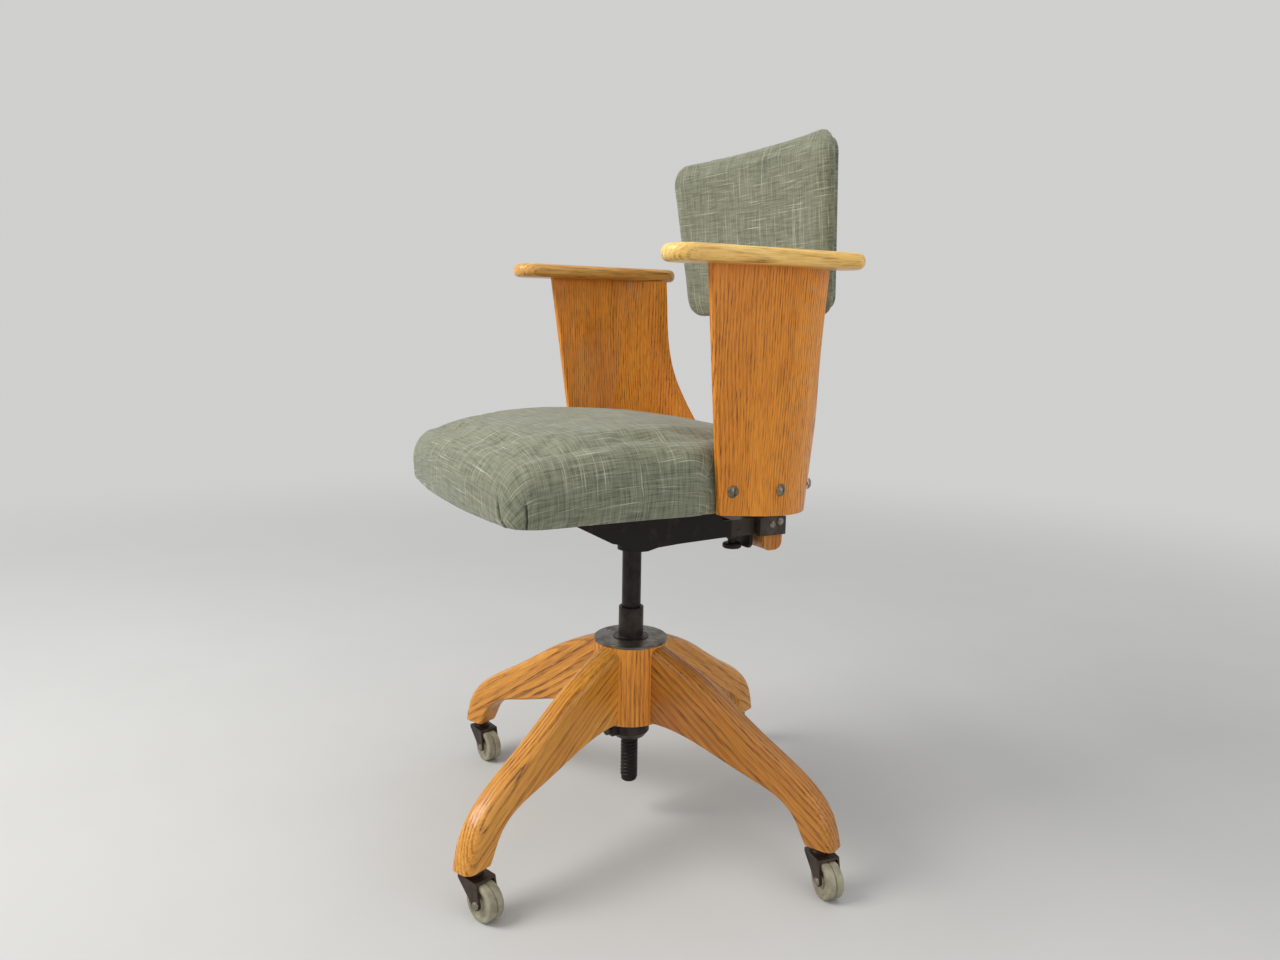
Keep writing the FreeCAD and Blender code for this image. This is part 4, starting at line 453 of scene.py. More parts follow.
seat = {
    "half": 0.1982, "neck": 0.1890, "front": -0.2520, "rear": 0.1820, "bow": 0.012, "corner": 0.034,
    "neckStart": -0.034, "neckEnd": -0.004,
    "bend": (0.049, 0.0483), "bendRadius": 0.1400,
    "low": 0.4460,
    "edgeRound": 0.030,  # rounding of the top edge
    "slack": 0.0012,  # how much smaller the form is before it swells
    "tuck": 0.0026,  # how far the lower edge is drawn in
    "voxel": 0.0052,
    "swell": 0.009,  # the furthest that the swelling moves a point
    "pressure": 4.0,
    "unevenness": 0.0012,
    "waves": 13,  # of unevenness per metre, roughly
}

seatBoard = {"half": 0.1862, "radius": 0.1372, "front": -0.2430, "rear": 0.1790, "corner": 0.034,
             "top": 0.4580, "frameTop": 0.4880, "frameWidth": 0.020, "gap": 0.0003}


def arcThrough(a, b, c, count):
    # points of the circle through three plan points, without its last point
    ax, ay, bx, by, cx, cy = *a, *b, *c
    d = 2 * (ax * (by - cy) + bx * (cy - ay) + cx * (ay - by))
    if abs(d) < 1e-12:
        return [(ax + (cx - ax) * i / count, ay + (cy - ay) * i / count) for i in range(count)]
    ux = ((ax * ax + ay * ay) * (by - cy) + (bx * bx + by * by) * (cy - ay)
          + (cx * cx + cy * cy) * (ay - by)) / d
    uy = ((ax * ax + ay * ay) * (cx - bx) + (bx * bx + by * by) * (ax - cx)
          + (cx * cx + cy * cy) * (bx - ax)) / d
    radius = math.hypot(ax - ux, ay - uy)
    first = math.atan2(ay - uy, ax - ux)
    middle = math.atan2(by - uy, bx - ux)
    last = math.atan2(cy - uy, cx - ux)
    full = math.tau
    way = 1 if (middle - first) % full < (last - first) % full else -1
    sweep = ((last - first) * way) % full
    return [(ux + radius * math.cos(first + way * sweep * i / count),
             uy + radius * math.sin(first + way * sweep * i / count)) for i in range(count)]


def seatPlan(half, neck, radius, front, rear, corner, step=0.0025):
    # closed plan of the seat, counter-clockwise from the middle of the front edge, evenly spaced
    bow = seat["bow"]
    cx, cy = seat["bend"]
    end = math.asin((rear - cy) / radius)
    k = corner * 0.293
    a, b = seat["neckStart"], seat["neckEnd"]
    start, firstSide = (0.0, front), (half - corner, front + bow)
    middle = arcThrough((corner - half, front + bow), start, firstSide, 120)[60:]
    side = arcThrough(firstSide, (half - k, front + bow + k), (half, front + bow + corner), 30)
    side.append((half, front + bow + corner))
    if half > neck + 1e-4:
        side += arcThrough((half, a), (half - (half - neck) * 0.27, a + (b - a) * 0.62), (neck, b), 16)
        side.append((neck, b))
    side += arcThrough((neck, cy), (cx + radius * math.cos(end / 2), cy + radius * math.sin(end / 2)),
                       (cx + radius * math.cos(end), rear), 60)
    side.append((cx + radius * math.cos(end), rear))
    right = middle + side
    left = [(-x, y) for x, y in reversed(right[1:])]
    loop = right + left
    return evenLoop(loop, step)


def evenLoop(loop, step):
    lengths = [math.dist(loop[i], loop[(i + 1) % len(loop)]) for i in range(len(loop))]
    total = sum(lengths)
    count = int(total / step)
    even, index, passed = [], 0, 0.0
    for number in range(count):
        want = total * number / count
        while passed + lengths[index] < want:
            passed += lengths[index]
            index += 1
        share = (want - passed) / lengths[index]
        a, b = loop[index], loop[(index + 1) % len(loop)]
        even.append(tuple(a[axis] + (b[axis] - a[axis]) * share for axis in range(len(a))))
    return even


def outwards(loop):
    normals = []
    for index in range(len(loop)):
        a, b = loop[index - 2], loop[(index + 2) % len(loop)]
        run = math.dist(a, b)
        normals.append(((b[1] - a[1]) / run, (a[0] - b[0]) / run))
    return normals


def smooth(low, high, value):
    share = min(1.0, max(0.0, (value - low) / (high - low)))
    return share * share * (3 - 2 * share)


def seatCrown(x, y):
    # height of the seat's top before its edge is rounded
    front, top, rear = (-0.262, 0.512), (-0.0917, 0.5350), (0.194, 0.499)
    a = (rear[1] - front[1]) / (rear[0] - front[0])
    chord = front[1] + (y - front[0]) * a
    rise = top[1] - (front[1] + (top[0] - front[0]) * a)
    bulge = (y - front[0]) * (rear[0] - y) / ((top[0] - front[0]) * (rear[0] - top[0]))
    across = abs(x) / 0.198
    fall = 0.0064 * across ** 2 + 0.0085 * across ** 8
    return chord + rise * bulge - fall


def closedForm(name, rings):
    # rings of equal length, closed at both ends by a fan to the ring's middle
    made = bmesh.new()
    loops = [[made.verts.new(point) for point in ring] for ring in rings]
    count = len(rings[0])
    for a, b in zip(loops, loops[1:]):
        for i in range(count):
            j = (i + 1) % count
            made.faces.new((a[i], a[j], b[j], b[i]))
    for loop, flip in ((loops[0], True), (loops[-1], False)):
        centre = sum((vertex.co for vertex in loop), Vector()) / count
        hub = made.verts.new(centre)
        for i in range(count):
            j = (i + 1) % count
            made.faces.new((loop[j], loop[i], hub) if flip else (loop[i], loop[j], hub))
    bmesh.ops.recalc_face_normals(made, faces=made.faces)
    mesh = bpy.data.meshes.new(name)
    made.to_mesh(mesh)
    made.free()
    piece = bpy.data.objects.new(name, mesh)
    bpy.context.collection.objects.link(piece)
    return piece


def bake(piece):
    # the evaluated shape becomes the piece's own mesh
    depsgraph = bpy.context.evaluated_depsgraph_get()
    depsgraph.update()
    mesh = bpy.data.meshes.new_from_object(piece.evaluated_get(depsgraph))
    piece.modifiers.clear()
    old = piece.data
    piece.data = mesh
    bpy.data.meshes.remove(old)


def remesh(piece, voxel):
    change = piece.modifiers.new("remesh", "REMESH")
    change.mode = "VOXEL"
    change.voxel_size = voxel
    bake(piece)


def swell(piece, pressure, cap, held, keep):
    # cloth under pressure; held gives a point's grip from 0 to 1, keep brings a point back within bounds
    start = [vertex.co.copy() for vertex in piece.data.vertices]
    facing = [vertex.normal.copy() for vertex in piece.data.vertices]
    group = piece.vertex_groups.new(name="held")
    for vertex in piece.data.vertices:
        grip = held(vertex.co)
        if grip > 0:
            group.add([vertex.index], grip, "REPLACE")
    cloth = piece.modifiers.new("stuffing", "CLOTH")
    setting = cloth.settings
    setting.quality = 5
    setting.mass = 0.3
    setting.tension_stiffness = 25
    setting.compression_stiffness = 25
    setting.shear_stiffness = 12
    setting.bending_stiffness = 1.5
    setting.use_pressure = True
    setting.uniform_pressure_force = pressure
    setting.vertex_group_mass = "held"
    setting.effector_weights.gravity = 0
    cloth.point_cache.frame_start = 1
    cloth.point_cache.frame_end = 20
    for number in range(1, 21):
        bpy.context.scene.frame_set(number)
    bake(piece)
    piece.vertex_groups.clear()
    bpy.context.scene.frame_set(1)
    for vertex, was, normal in zip(piece.data.vertices, start, facing):
        move = vertex.co - was
        move -= normal * min(0.0, move.dot(normal))  # the stuffing doesn't let the cover sink in
        if move.length > cap:
            move *= cap / move.length
        vertex.co = keep(was + move)


def subdivide(piece, levels=1):
    change = piece.modifiers.new("finer", "SUBSURF")
    change.levels = levels
    change.render_levels = levels
    bake(piece)


def nearestOn(loop):
    tree = KDTree(len(loop))
    for index, point in enumerate(loop):
        tree.insert((point[0], point[1], 0), index)
    tree.balance()
    normals = outwards(loop)

    def find(x, y):
        spot, index, gap = tree.find((x, y, 0))
        normal = normals[index]
        beyond = (x - loop[index][0]) * normal[0] + (y - loop[index][1]) * normal[1]
        return index, beyond, normal
    return find


def seatRings():
    loop = seatPlan(seat["half"], seat["neck"], seat["bendRadius"], seat["front"], seat["rear"],
                    seat["corner"])
    normals = outwards(loop)
    free = [1 - smooth(-0.075, -0.030, y) for x, y in loop]  # 1 where no side panel holds the side in
    low, curve = seat["low"], seat["edgeRound"]
    rings = []

    def drop(loose):  # the edge is squarer over the frame, beside the panels and behind
        return curve * (0.4 + 0.6 * loose)

    def ring(inset, height):
        points = []
        for (x, y), (nx, ny), loose in zip(loop, normals, free):
            back = seat["slack"] * (0.25 + 0.75 * loose) + inset(loose)
            px, py = x - nx * back, y - ny * back
            points.append((px, py, height(px, py, loose)))
        rings.append(points)

    for share in (0.25, 0.6):
        rings.append([(x * share, y * share, low) for x, y in loop])
    ring(lambda loose: 0.0012 + (seat["tuck"] + 0.0015) * loose, lambda x, y, loose: low)
    ring(lambda loose: 0.0005 + seat["tuck"] * loose, lambda x, y, loose: low + 0.0015)
    ring(lambda loose: seat["tuck"] * 0.45 * loose, lambda x, y, loose: low + 0.006)
    ring(lambda loose: seat["tuck"] * 0.10 * loose, lambda x, y, loose: low + 0.014)
    for share in (0.0, 0.35, 0.7):
        ring(lambda loose: -0.0015 * loose * share,
             lambda x, y, loose: low + 0.022 + (seatCrown(x, y) - drop(loose) - low - 0.024) * share)
    for turn in (12, 24, 36, 48, 60, 72):
        angle = math.radians(turn)
        ring(lambda loose: (1 - math.cos(angle)) * curve * (0.72 + 0.28 * loose),
             lambda x, y, loose: (seatCrown(x, y) - seat["slack"] * 0.7
                                  - drop(loose) * (1 - math.sin(angle))))
    for share in (0.72, 0.5, 0.3, 0.12):
        rings.append([(x * share, -0.02 + (y + 0.02) * share,
                       seatCrown(x * share, -0.02 + (y + 0.02) * share) - seat["slack"] * 0.6)
                      for x, y in loop])
    return loop, rings


pleats = {
    "frontSide": ((0.447, -0.0185), (0.456, -0.0255), (0.466, -0.0285), (0.480, -0.0290)),
    "nearSide": ((0.447, 0.0100), (0.456, 0.0112), (0.466, 0.0108), (0.482, 0.0100)),
    "top": (0.4755, 0.4790),  # where the two slits close
    "depth": 0.0060,
    "width": 0.0013,
    "lip": 0.0012,  # how far the cloth stands up outside a slit
    "lipReach": 0.006,
    "tongueDrop": 0.0010,  # how far the tongue lies back beside a slit
    "tongueReach": 0.004,
    "closing": 0.012,  # height over which a slit closes
    "fine": (0.0075, 0.0040),  # the mesh is cut finer this near a slit, once and then again
}


def along(table, height):
    for (a, first), (b, second) in zip(table, table[1:]):
        if height <= b:
            return first + (second - first) * min(1.0, max(0.0, (height - a) / (b - a)))
    return table[-1][1]


def foldCorners(piece, loop):
    # two slits with a tongue of cloth between them at each front corner
    find = nearestOn(loop)
    steps = len(loop)
    pitch = sum(math.dist(loop[i - 1], loop[i]) for i in range(steps)) / steps
    half, corner = seat["half"], seat["corner"]
    mark = (half - corner * 0.293, seat["front"] + seat["bow"] + corner * 0.293)
    middle = find(*mark)[0]
    normals = outwards(loop)

    def local(co):
        index, beyond, normal = find(abs(co.x), co.y)
        nx, ny = normal
        sideways = (abs(co.x) - loop[index][0]) * -ny + (co.y - loop[index][1]) * nx
        return (index - middle) * pitch + sideways, beyond, nx, ny

    made = bmesh.new()
    made.from_mesh(piece.data)
    for reach in pleats["fine"]:
        edges = []
        for edge in made.edges:
            spot = (edge.verts[0].co + edge.verts[1].co) / 2
            if spot.z > 0.486 or spot.y > -0.19 or abs(spot.x) < 0.12:
                continue
            where, beyond, nx, ny = local(spot)
            if beyond < -0.022:
                continue
            for table in (pleats["frontSide"], pleats["nearSide"]):
                if abs(where - along(table, spot.z)) < reach:
                    edges.append(edge)
                    break
        bmesh.ops.subdivide_edges(made, edges=edges, cuts=1, use_grid_fill=True)
    for vertex in made.verts:
        co = vertex.co
        if co.z > 0.50 or co.y > -0.18 or abs(co.x) < 0.11 or co.z < seat["low"] + 0.0002:
            continue
        where, beyond, nx, ny = local(co)
        if beyond < -0.02:
            continue
        front = where - along(pleats["frontSide"], co.z)
        near = where - along(pleats["nearSide"], co.z)
        shift = 0.0
        for gap, top, face in ((front, pleats["top"][0], -1), (near, pleats["top"][1], 1)):
            opening = 1 - smooth(top - pleats["closing"], top, co.z)
            easy = 1 - smooth(top - 0.016, top + pleats["closing"], co.z)
            groove = math.exp(-(gap / pleats["width"]) ** 2)
            shift -= pleats["depth"] * groove * opening
            outer = gap * face
            if outer > 0:
                shift += pleats["lip"] * math.exp(-outer / pleats["lipReach"]) * easy
            else:
                shift -= pleats["tongueDrop"] * math.exp(outer / pleats["tongueReach"]) * easy
        side = 1 if co.x > 0 else -1
        vertex.co.x += nx * side * shift
        vertex.co.y += ny * shift
    made.to_mesh(piece.data)
    made.free()


def boardPlan(inset):
    half = seatBoard["half"] - inset
    return seatPlan(half, half, seatBoard["radius"] - inset, seatBoard["front"] + inset,
                    seatBoard["rear"] - inset, seatBoard["corner"], 0.004)


def hollowUnder(piece):
    # room for the seat board and its frame, so that the cover wraps their edge
    gap = seatBoard["gap"]
    outer = boardPlan(-gap)
    band = seatBoard["frameWidth"] + gap * 2
    inner = [(x - nx * band, y - ny * band) for (x, y), (nx, ny) in zip(outer, outwards(outer))]
    below = seat["low"] - 0.008
    deep, shallow = seatBoard["frameTop"] + gap, seatBoard["top"] + gap
    rings = [[(x, y, below) for x, y in outer], [(x, y, deep) for x, y in outer],
             [(x, y, deep) for x, y in inner], [(x, y, shallow) for x, y in inner]]
    plug = closedForm("seatPlug", rings)
    change = piece.modifiers.new("room", "BOOLEAN")
    change.operation = "DIFFERENCE"
    change.solver = "EXACT"
    change.object = plug
    bake(piece)
    bpy.data.objects.remove(plug)


def layRun(piece, run):
    # a UV map in metres that follows the cloth
    mesh = piece.data
    while mesh.uv_layers:
        mesh.uv_layers.remove(mesh.uv_layers[0])
    layer = mesh.uv_layers.new(name="clothRun")
    spots = [run(vertex.co) for vertex in mesh.vertices]
    for loop in mesh.loops:
        layer.data[loop.index].uv = spots[loop.vertex_index]


def smoothShade(piece):
    for polygon in piece.data.polygons:
        polygon.use_smooth = True


def seatRun(loop):
    find = nearestOn(loop)
    curve = seat["edgeRound"]

    def run(co):
        index, beyond, (nx, ny) = find(co.x, co.y)
        depth = max(0.0, seatCrown(co.x, co.y) - co.z) * (1 - smooth(0.05, 0.08, -beyond))
        if depth < curve:
            bend = math.acos(1 - depth / curve)
            extra = curve * (bend - math.sin(bend))
        else:
            extra = curve * 0.5708 + depth - curve
        angle = math.atan2(ny, abs(nx))
        folded = (0.0 if angle > math.radians(-27) else
                  math.radians(-90) if angle < math.radians(-78) else math.radians(-45))
        if co.y > 0:
            folded = 0.0 if angle < math.radians(60) else math.radians(90)
        angle += (folded - angle) * (1 - smooth(0.468, 0.486, co.z))
        side = 1 if nx >= 0 else -1
        return (co.x + math.cos(angle) * side * extra, co.y + math.sin(angle) * extra)
    return run


def seatBounds(loop):
    find = nearestOn(loop)

    def keep(co):
        index, beyond, (nx, ny) = find(co.x, co.y)
        spare = 0.0032 * (1 - smooth(-0.070, -0.034, loop[index][1]))
        if beyond > spare:
            co.x -= nx * (beyond - spare)
            co.y -= ny * (beyond - spare)
        co.z = max(co.z, seat["low"])
        return co
    return keep


def makeSeat(cloth):
    loop, rings = seatRings()
    piece = closedForm("seatCushion", rings)
    remesh(piece, seat["voxel"])
    low = seat["low"]
    swell(piece, seat["pressure"], seat["swell"], lambda co: 1 - smooth(low + 0.002, low + 0.012, co.z),
          seatBounds(loop))
    subdivide(piece)
    for vertex in piece.data.vertices:  # slight unevenness of the stuffing
        co = vertex.co
        if co.z > low + 0.012:
            vertex.co.z += noise.noise(co * seat["waves"]) * seat["unevenness"]
    keep = seatBounds(loop)
    for vertex in piece.data.vertices:
        vertex.co = keep(vertex.co)
    foldCorners(piece, loop)
    hollowUnder(piece)
    layRun(piece, seatRun(loop))
    smoothShade(piece)
    piece.data.materials.clear()
    piece.data.materials.append(cloth)
    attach(piece, "seat_unit")
    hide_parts("seat_cushion")


# hem and tacks under the seat

hem = {
    "inset": 0.0015,  # from the board's edge
    "width": 0.020,
    "thickness": 0.0012,
    "tackEvery": 0.034,
    "tackRadius": 0.0042,
    "tackHeight": 0.0016,
}


def layHem():
    outer = boardPlan(hem["inset"])
    normals = outwards(outer)
    top = seat["low"] - 0.0001
    low = top - hem["thickness"]
    made = bmesh.new()
    rings = []
    for inset, height in ((0.0, top), (0.0, low), (hem["width"], low), (hem["width"], top)):
        rings.append([made.verts.new((x - nx * inset, y - ny * inset, height))
                      for (x, y), (nx, ny) in zip(outer, normals)])
    count = len(outer)
    for index in range(4):
        a, b = rings[index], rings[(index + 1) % 4]
        for i in range(count):
            j = (i + 1) % count
            made.faces.new((a[i], a[j], b[j], b[i]))
    bmesh.ops.recalc_face_normals(made, faces=made.faces)
    mesh = bpy.data.meshes.new("seatHem")
    made.to_mesh(mesh)
    made.free()
    piece = bpy.data.objects.new("seatHem", mesh)
    bpy.context.collection.objects.link(piece)
    # near-black strip under the seat's lower edge, giving a dark line beneath the cushion
    finish = Finish("hemTape")
    weave = finish.cloud(finish.stretch(finish.place(), (0, 0, 0), (700, 700, 40)), 1, 2, 0.6)
    tint = finish.blend(weave.clip(0.35, 0.65), rgb(0.012, 0.011, 0.010), rgb(0.030, 0.027, 0.024))
    normal = finish.bump(weave, 0.5, 0.0004)
    piece.data.materials.append(finish.wear(colour=tint, roughness=0.9, normal=normal))
    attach(piece, "seat_unit")
    path = [(x - nx * hem["width"] / 2, y - ny * hem["width"] / 2, low)
            for (x, y), (nx, ny) in zip(outer, normals)]
    tackSteel = steelFinish("tackBlue", (0.06, 0.065, 0.075), (0.03, 0.03, 0.03), 0.35, 0.9)
    tacks = strewAlong("hemTacks", path, tackSteel,
                       {"spacing": hem["tackEvery"], "radius": hem["tackRadius"],
                        "height": hem["tackHeight"], "seed": 7}, tackTree)
    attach(tacks, "seat_unit")


def treeWith(name, numbers):
    tree = bpy.data.node_groups.new(name, "GeometryNodeTree")
    face = tree.interface
    face.new_socket("Geometry", in_out="INPUT", socket_type="NodeSocketGeometry")
    for key, value in numbers.items():
        kind = "NodeSocketInt" if key == "seed" else "NodeSocketFloat"
        face.new_socket(key, in_out="INPUT", socket_type=kind).default_value = value
    face.new_socket("Finish", in_out="INPUT", socket_type="NodeSocketMaterial")
    face.new_socket("Geometry", in_out="OUTPUT", socket_type="NodeSocketGeometry")
    start = tree.nodes.new("NodeGroupInput")
    end = tree.nodes.new("NodeGroupOutput")

    def put(kind, links, out=0, **settings):
        step = tree.nodes.new(kind)
        for key, value in settings.items():
            setattr(step, key, value)
        for key, value in links.items():
            if isinstance(value, bpy.types.NodeSocket):
                tree.links.new(value, step.inputs[key])
            else:
                step.inputs[key].default_value = value
        return step.outputs[out]

    def finish(shape):
        real = put("GeometryNodeRealizeInstances", {0: shape})
        tree.links.new(put("GeometryNodeSetMaterial", {0: real, "Material": start.outputs["Finish"]}),
                       end.inputs[0])
    return tree, start.outputs, put, finish


def tackTree(numbers):
    # domed heads along the path, point down, each turned a little by chance
    tree, given, put, finish = treeWith("tackRow", numbers)
    spots = put("GeometryNodeResampleCurve", {0: given["Geometry"], "Length": given["spacing"]},
                mode="LENGTH")
    dome = put("GeometryNodeMeshUVSphere", {"Segments": 16, "Rings": 8, "Radius": given["radius"]})
    share = put("ShaderNodeMath", {0: given["height"], 1: given["radius"]}, operation="DIVIDE")
    squash = put("ShaderNodeCombineXYZ", {0: 1.0, 1: 1.0, 2: share})
    head = put("GeometryNodeTransform", {0: dome, "Scale": squash})
    chance = put("FunctionNodeRandomValue", {"Min": (-0.10, -0.10, 0.0), "Max": (0.10, 0.10, 6.28),
                                             "Seed": given["seed"]}, data_type="FLOAT_VECTOR")
    turn = put("FunctionNodeEulerToRotation", {0: chance})
    finish(put("GeometryNodeInstanceOnPoints", {0: spots, "Instance": head, "Rotation": turn}))
    return tree


def stitchTree(numbers):
    # short round stitches lying along the path
    tree, given, put, finish = treeWith("stitchRow", numbers)
    spots = put("GeometryNodeResampleCurve", {0: given["Geometry"], "Length": given["spacing"]},
                mode="LENGTH")
    thread = put("GeometryNodeMeshUVSphere", {"Segments": 8, "Rings": 6, "Radius": given["radius"]})
    share = put("ShaderNodeMath", {0: given["length"], 1: given["radius"]}, operation="DIVIDE")
    size = put("ShaderNodeCombineXYZ", {0: share, 1: 1.0, 2: 1.0})
    stitch = put("GeometryNodeTransform", {0: thread, "Scale": size})
    run = put("GeometryNodeInputTangent", {})
    chance = put("FunctionNodeRandomValue", {"Min": (-0.08, -0.08, -0.08), "Max": (0.08, 0.08, 0.08),
                                             "Seed": given["seed"]}, data_type="FLOAT_VECTOR")
    lean = put("ShaderNodeVectorMath", {0: run, 1: chance}, operation="ADD")
    turn = put("FunctionNodeAlignRotationToVector", {"Vector": lean}, axis="X")
    finish(put("GeometryNodeInstanceOnPoints", {0: spots, "Instance": stitch, "Rotation": turn}))
    return tree


def strewAlong(name, path, finish, numbers, makeTree):
    # a closed path, dressed by a node tree and turned into one plain mesh
    curve = bpy.data.curves.new(name + "Path", "CURVE")
    curve.dimensions = "3D"
    line = curve.splines.new("POLY")
    line.points.add(len(path) - 1)
    for point, spot in zip(line.points, path):
        point.co = (*spot, 1)
    line.use_cyclic_u = True
    guide = bpy.data.objects.new(name + "Path", curve)
    bpy.context.collection.objects.link(guide)
    change = guide.modifiers.new("row", "NODES")
    change.node_group = makeTree(numbers)
    for item in change.node_group.interface.items_tree:
        if item.in_out == "INPUT" and item.name in numbers:
            change[item.identifier] = numbers[item.name]
        elif item.in_out == "INPUT" and item.name == "Finish":
            change[item.identifier] = finish
    depsgraph = bpy.context.evaluated_depsgraph_get()
    depsgraph.update()
    mesh = bpy.data.meshes.new_from_object(guide.evaluated_get(depsgraph))
    mesh.name = name
    guide.modifiers.clear()
    bpy.data.objects.remove(guide)
    piece = bpy.data.objects.new(name, mesh)
    bpy.context.collection.objects.link(piece)
    smoothShade(piece)
    return piece


# back pad

pad = {
    "origin": (0.0, 0.1545, 0.7710),
    "lean": 5.2,  # degrees, top forwards
    "frontRadius": 0.6448, "frontDip": 0.022,
    "halfHeight": 0.108, "halfTop": 0.177, "halfBottom": 0.158,
    "corner": 0.028,
    "thickness": 0.018,
    "slack": 0.0010,
    "rim": 0.0080,  # rounding of the rim
    "voxel": 0.0040,
    "swell": 0.0055,
    "pressure": 3.0,
    "wave": 0.0009,
    "ripple": 0.0003,
    "rimWave": 0.0008,
    "seamDepth": 0.0098,  # behind the front face
    "seamWidth": 0.0008,
    "seamDip": 0.0009,
}

padStitch = {"spacing": 0.0052, "radius": 0.00038, "length": 0.0019, "seed": 3}


def padPlace(x, depth, z):
    # across, behind the front face, and up, all on the pad's bent sheet
    radius = pad["frontRadius"]
    turn = math.asin(max(-0.99, min(0.99, x / radius)))
    y = pad["frontDip"] - radius + (radius + depth) * math.cos(turn)
    px = (radius + depth) * math.sin(turn)
    lean = math.radians(pad["lean"])
    ox, oy, oz = pad["origin"]
    return (ox + px, oy + y * math.cos(lean) - z * math.sin(lean),
            oz + y * math.sin(lean) + z * math.cos(lean))


def padLocal(co):
    lean = math.radians(pad["lean"])
    ox, oy, oz = pad["origin"]
    dy, dz = co[1] - oy, co[2] - oz
    y = dy * math.cos(lean) + dz * math.sin(lean)
    z = dz * math.cos(lean) - dy * math.sin(lean)
    radius = pad["frontRadius"]
    far = y - (pad["frontDip"] - radius)
    reach = math.hypot(co[0], far)
    return radius * (co[0] / reach), reach - radius, z


def padPlan(step=0.0025):
    top, low, height, corner = pad["halfTop"], pad["halfBottom"], pad["halfHeight"], pad["corner"]
    corners = [(-low, -height), (low, -height), (top, height), (-top, height)]
    loop = []
    for index, spot in enumerate(corners):
        before, after = corners[index - 1], corners[(index + 1) % 4]
        a = Vector((before[0] - spot[0], before[1] - spot[1])).normalized()
        b = Vector((after[0] - spot[0], after[1] - spot[1])).normalized()
        half = a.angle(b) / 2
        reach = corner / math.tan(half)
        first = Vector(spot) + a * reach
        last = Vector(spot) + b * reach
        centre = Vector(spot) + (a + b).normalized() * (corner / math.sin(half))
        middle = centre - (a + b).normalized() * corner
        loop += arcThrough(tuple(first), tuple(middle), tuple(last), 24)
        loop.append(tuple(last))
    return evenLoop(loop, step)


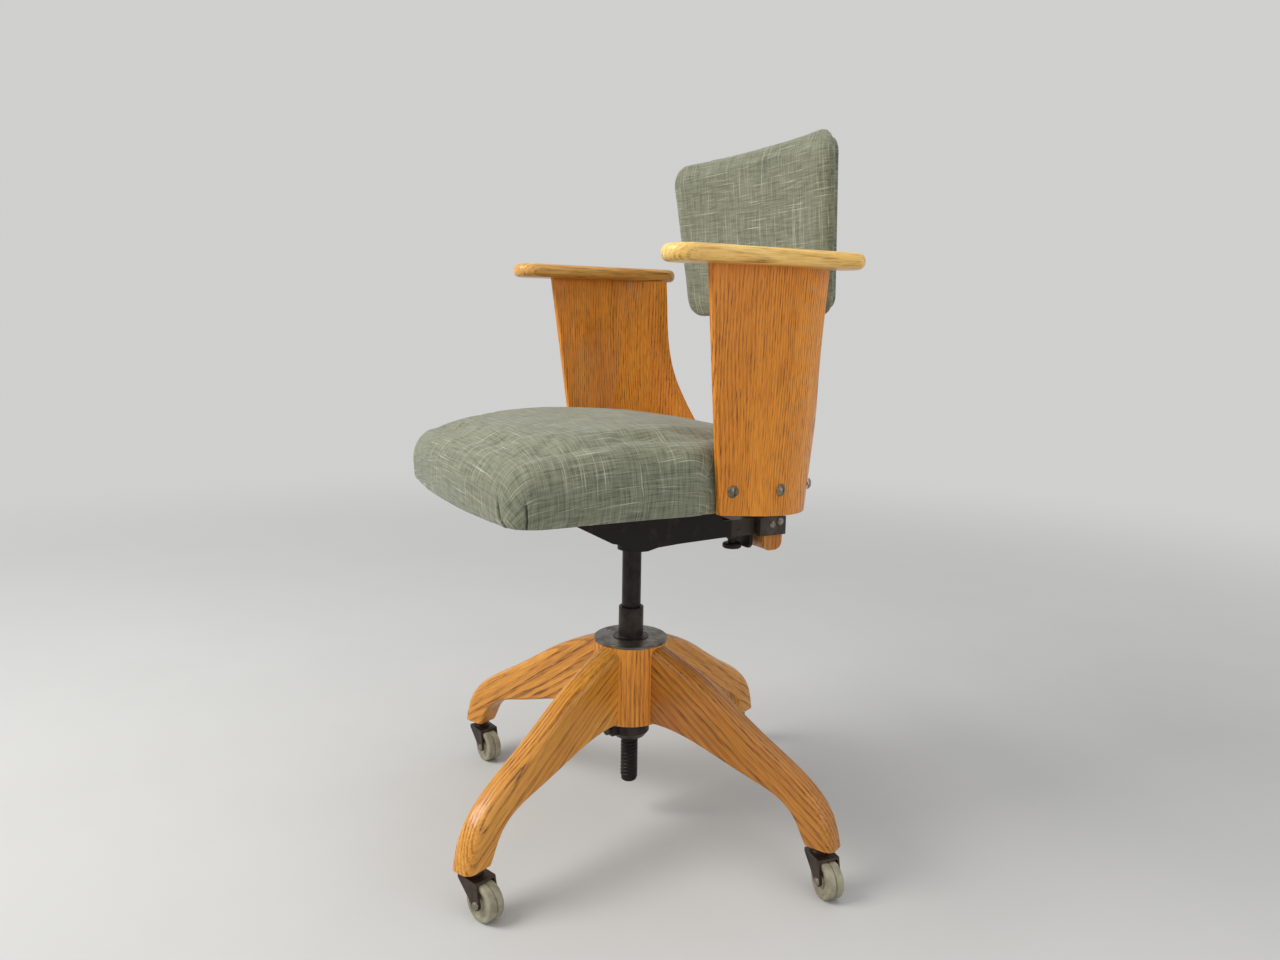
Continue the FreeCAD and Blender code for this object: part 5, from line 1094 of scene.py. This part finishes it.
def makePad(cloth):
    loop = padPlan()
    normals = outwards(loop)
    thick, rim, slack = pad["thickness"], pad["rim"], pad["slack"]
    rings = []

    def ring(inset, depth):
        rings.append([padPlace(x - nx * inset, depth, z - nz * inset)
                      for (x, z), (nx, nz) in zip(loop, normals)])

    def flat(share, depth):
        rings.append([padPlace(x * share, depth, z * share) for x, z in loop])

    for share in (0.3, 0.7):
        flat(share, thick - 0.0003)
    ring(slack + 0.008, thick - 0.0003)
    ring(slack + 0.0025, thick - 0.0015)
    ring(slack, thick - 0.0050)
    for turn in (0, 20, 40, 60, 80):
        angle = math.radians(turn)
        ring(slack + rim * 1.2 * (1 - math.cos(angle)), 0.0020 + rim * (1 - math.sin(angle)))
    for share in (0.80, 0.6, 0.4, 0.2):
        flat(share, 0.0022 - 0.0022 * (1 - share))
    piece = closedForm("backPadCushion", rings)
    remesh(piece, pad["voxel"])
    find = nearestOn(loop)

    def keep(co):
        x, depth, z = padLocal(co)
        index, beyond, (nx, nz) = find(x, z)
        if beyond > -0.0002:
            x -= nx * (beyond + 0.0002)
            z -= nz * (beyond + 0.0002)
        return Vector(padPlace(x, min(max(depth, -0.0025), thick - 0.0002), z))

    swell(piece, pad["pressure"], pad["swell"],
          lambda co: smooth(thick - 0.0045, thick - 0.002, padLocal(co)[1]), keep)
    subdivide(piece)
    for vertex in piece.data.vertices:
        x, depth, z = padLocal(vertex.co)
        index, beyond, (nx, nz) = find(x, z)
        wave = noise.noise(Vector((x * 16, z * 16, 3.1)))
        ripple = noise.noise(Vector((x * 30, z * 30, 7.7)))
        front = 1 - smooth(0.004, 0.012, depth)
        depth += (wave * pad["wave"] + ripple * pad["ripple"]) * front
        edge = 1 - smooth(0.0, 0.012, -beyond)
        x += nx * (wave - 0.35) * pad["rimWave"] * edge
        z += nz * (wave - 0.35) * pad["rimWave"] * edge
        seam = math.exp(-((depth - pad["seamDepth"]) / pad["seamWidth"]) ** 2)
        seam *= 1 - smooth(0.002, 0.006, -beyond)
        x -= nx * seam * pad["seamDip"]
        z -= nz * seam * pad["seamDip"]
        vertex.co = keep(Vector(padPlace(x, depth, z)))

    def run(co):
        x, depth, z = padLocal(co)
        index, beyond, (nx, nz) = find(x, z)
        extra = max(0.0, depth) * (1 - smooth(0.02, 0.03, -beyond))
        return (x + nx * extra, z + nz * extra + 0.7)

    layRun(piece, run)
    smoothShade(piece)
    piece.data.materials.clear()
    piece.data.materials.append(cloth)
    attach(piece, "pad_unit")
    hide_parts("back_pad")
    thread = Finish("paleThread")
    twist = thread.cloud(thread.place(), 1800, 2, 0.6)
    tint = thread.blend(twist, rgb(0.22, 0.22, 0.15), rgb(0.34, 0.34, 0.25))
    thread.wear(colour=tint, roughness=0.8)
    seam = [piece.closest_point_on_mesh(Vector(padPlace(x, pad["seamDepth"], z)))[1] for x, z in loop]
    stitches = strewAlong("padStitches", seam, thread.material, padStitch, stitchTree)
    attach(stitches, "pad_unit")


# floor

floorSizes = {
    "reach": 30.0,  # half its width in metres
    "light": (0.56, 0.56, 0.55),
    "dark": (0.51, 0.51, 0.50),
    "fadeFrom": 0.9,  # where it starts to fade into the backdrop, from the chair's middle
    "fadeTo": 3.2,
}


def layFloor():
    mesh = bpy.data.meshes.new("studioFloor")
    reach = floorSizes["reach"]
    mesh.from_pydata([(-reach, -reach, 0), (reach, -reach, 0), (reach, reach, 0), (-reach, reach, 0)], [],
                     [(0, 1, 2, 3)])
    floor = bpy.data.objects.new("studioFloor", mesh)
    bpy.context.collection.objects.link(floor)
    made = Finish("paleFloor")
    mottle = made.cloud(made.place(), 3, 4, 0.6)
    tint = made.blend(mottle.clip(0.3, 0.7) * 0.3, rgb(*floorSizes["light"]),
                      rgb(*floorSizes["dark"]))
    floor.data.materials.append(made.wear(colour=tint, roughness=0.8))
    across, along, up = made.axes(made.place())
    away = (across * across + along * along).maths("SQRT")
    path = made.tree.nodes.new("ShaderNodeLightPath")
    seen = Wire(made.tree, path.outputs["Is Camera Ray"])
    for ray in ("Is Glossy Ray", "Is Transmission Ray"):
        seen = seen.maths("MAXIMUM", Wire(made.tree, path.outputs[ray]))
    plain = made.node("ShaderNodeEmission", {}, {"Color": rgb(*lights["backdrop"])})
    lit = Wire(made.tree, made.shader.outputs[0])
    fade = away.clip(floorSizes["fadeFrom"], floorSizes["fadeTo"]) * seen
    mixed = made.node("ShaderNodeMixShader", {}, {0: fade, 1: lit, 2: plain})
    made.tree.links.new(mixed.socket, made.tree.nodes["Material Output"].inputs["Surface"])


aimCamera()
lightStudio()
layFloor()
print("studio ready")
cloth = dressFrame()
print("wood and metal dressed")
makeSeat(cloth)
layHem()
print("seat cushion and hem made")
makePad(cloth)
print("back pad made")

scene = bpy.context.scene
scene.view_settings.view_transform = "Standard"
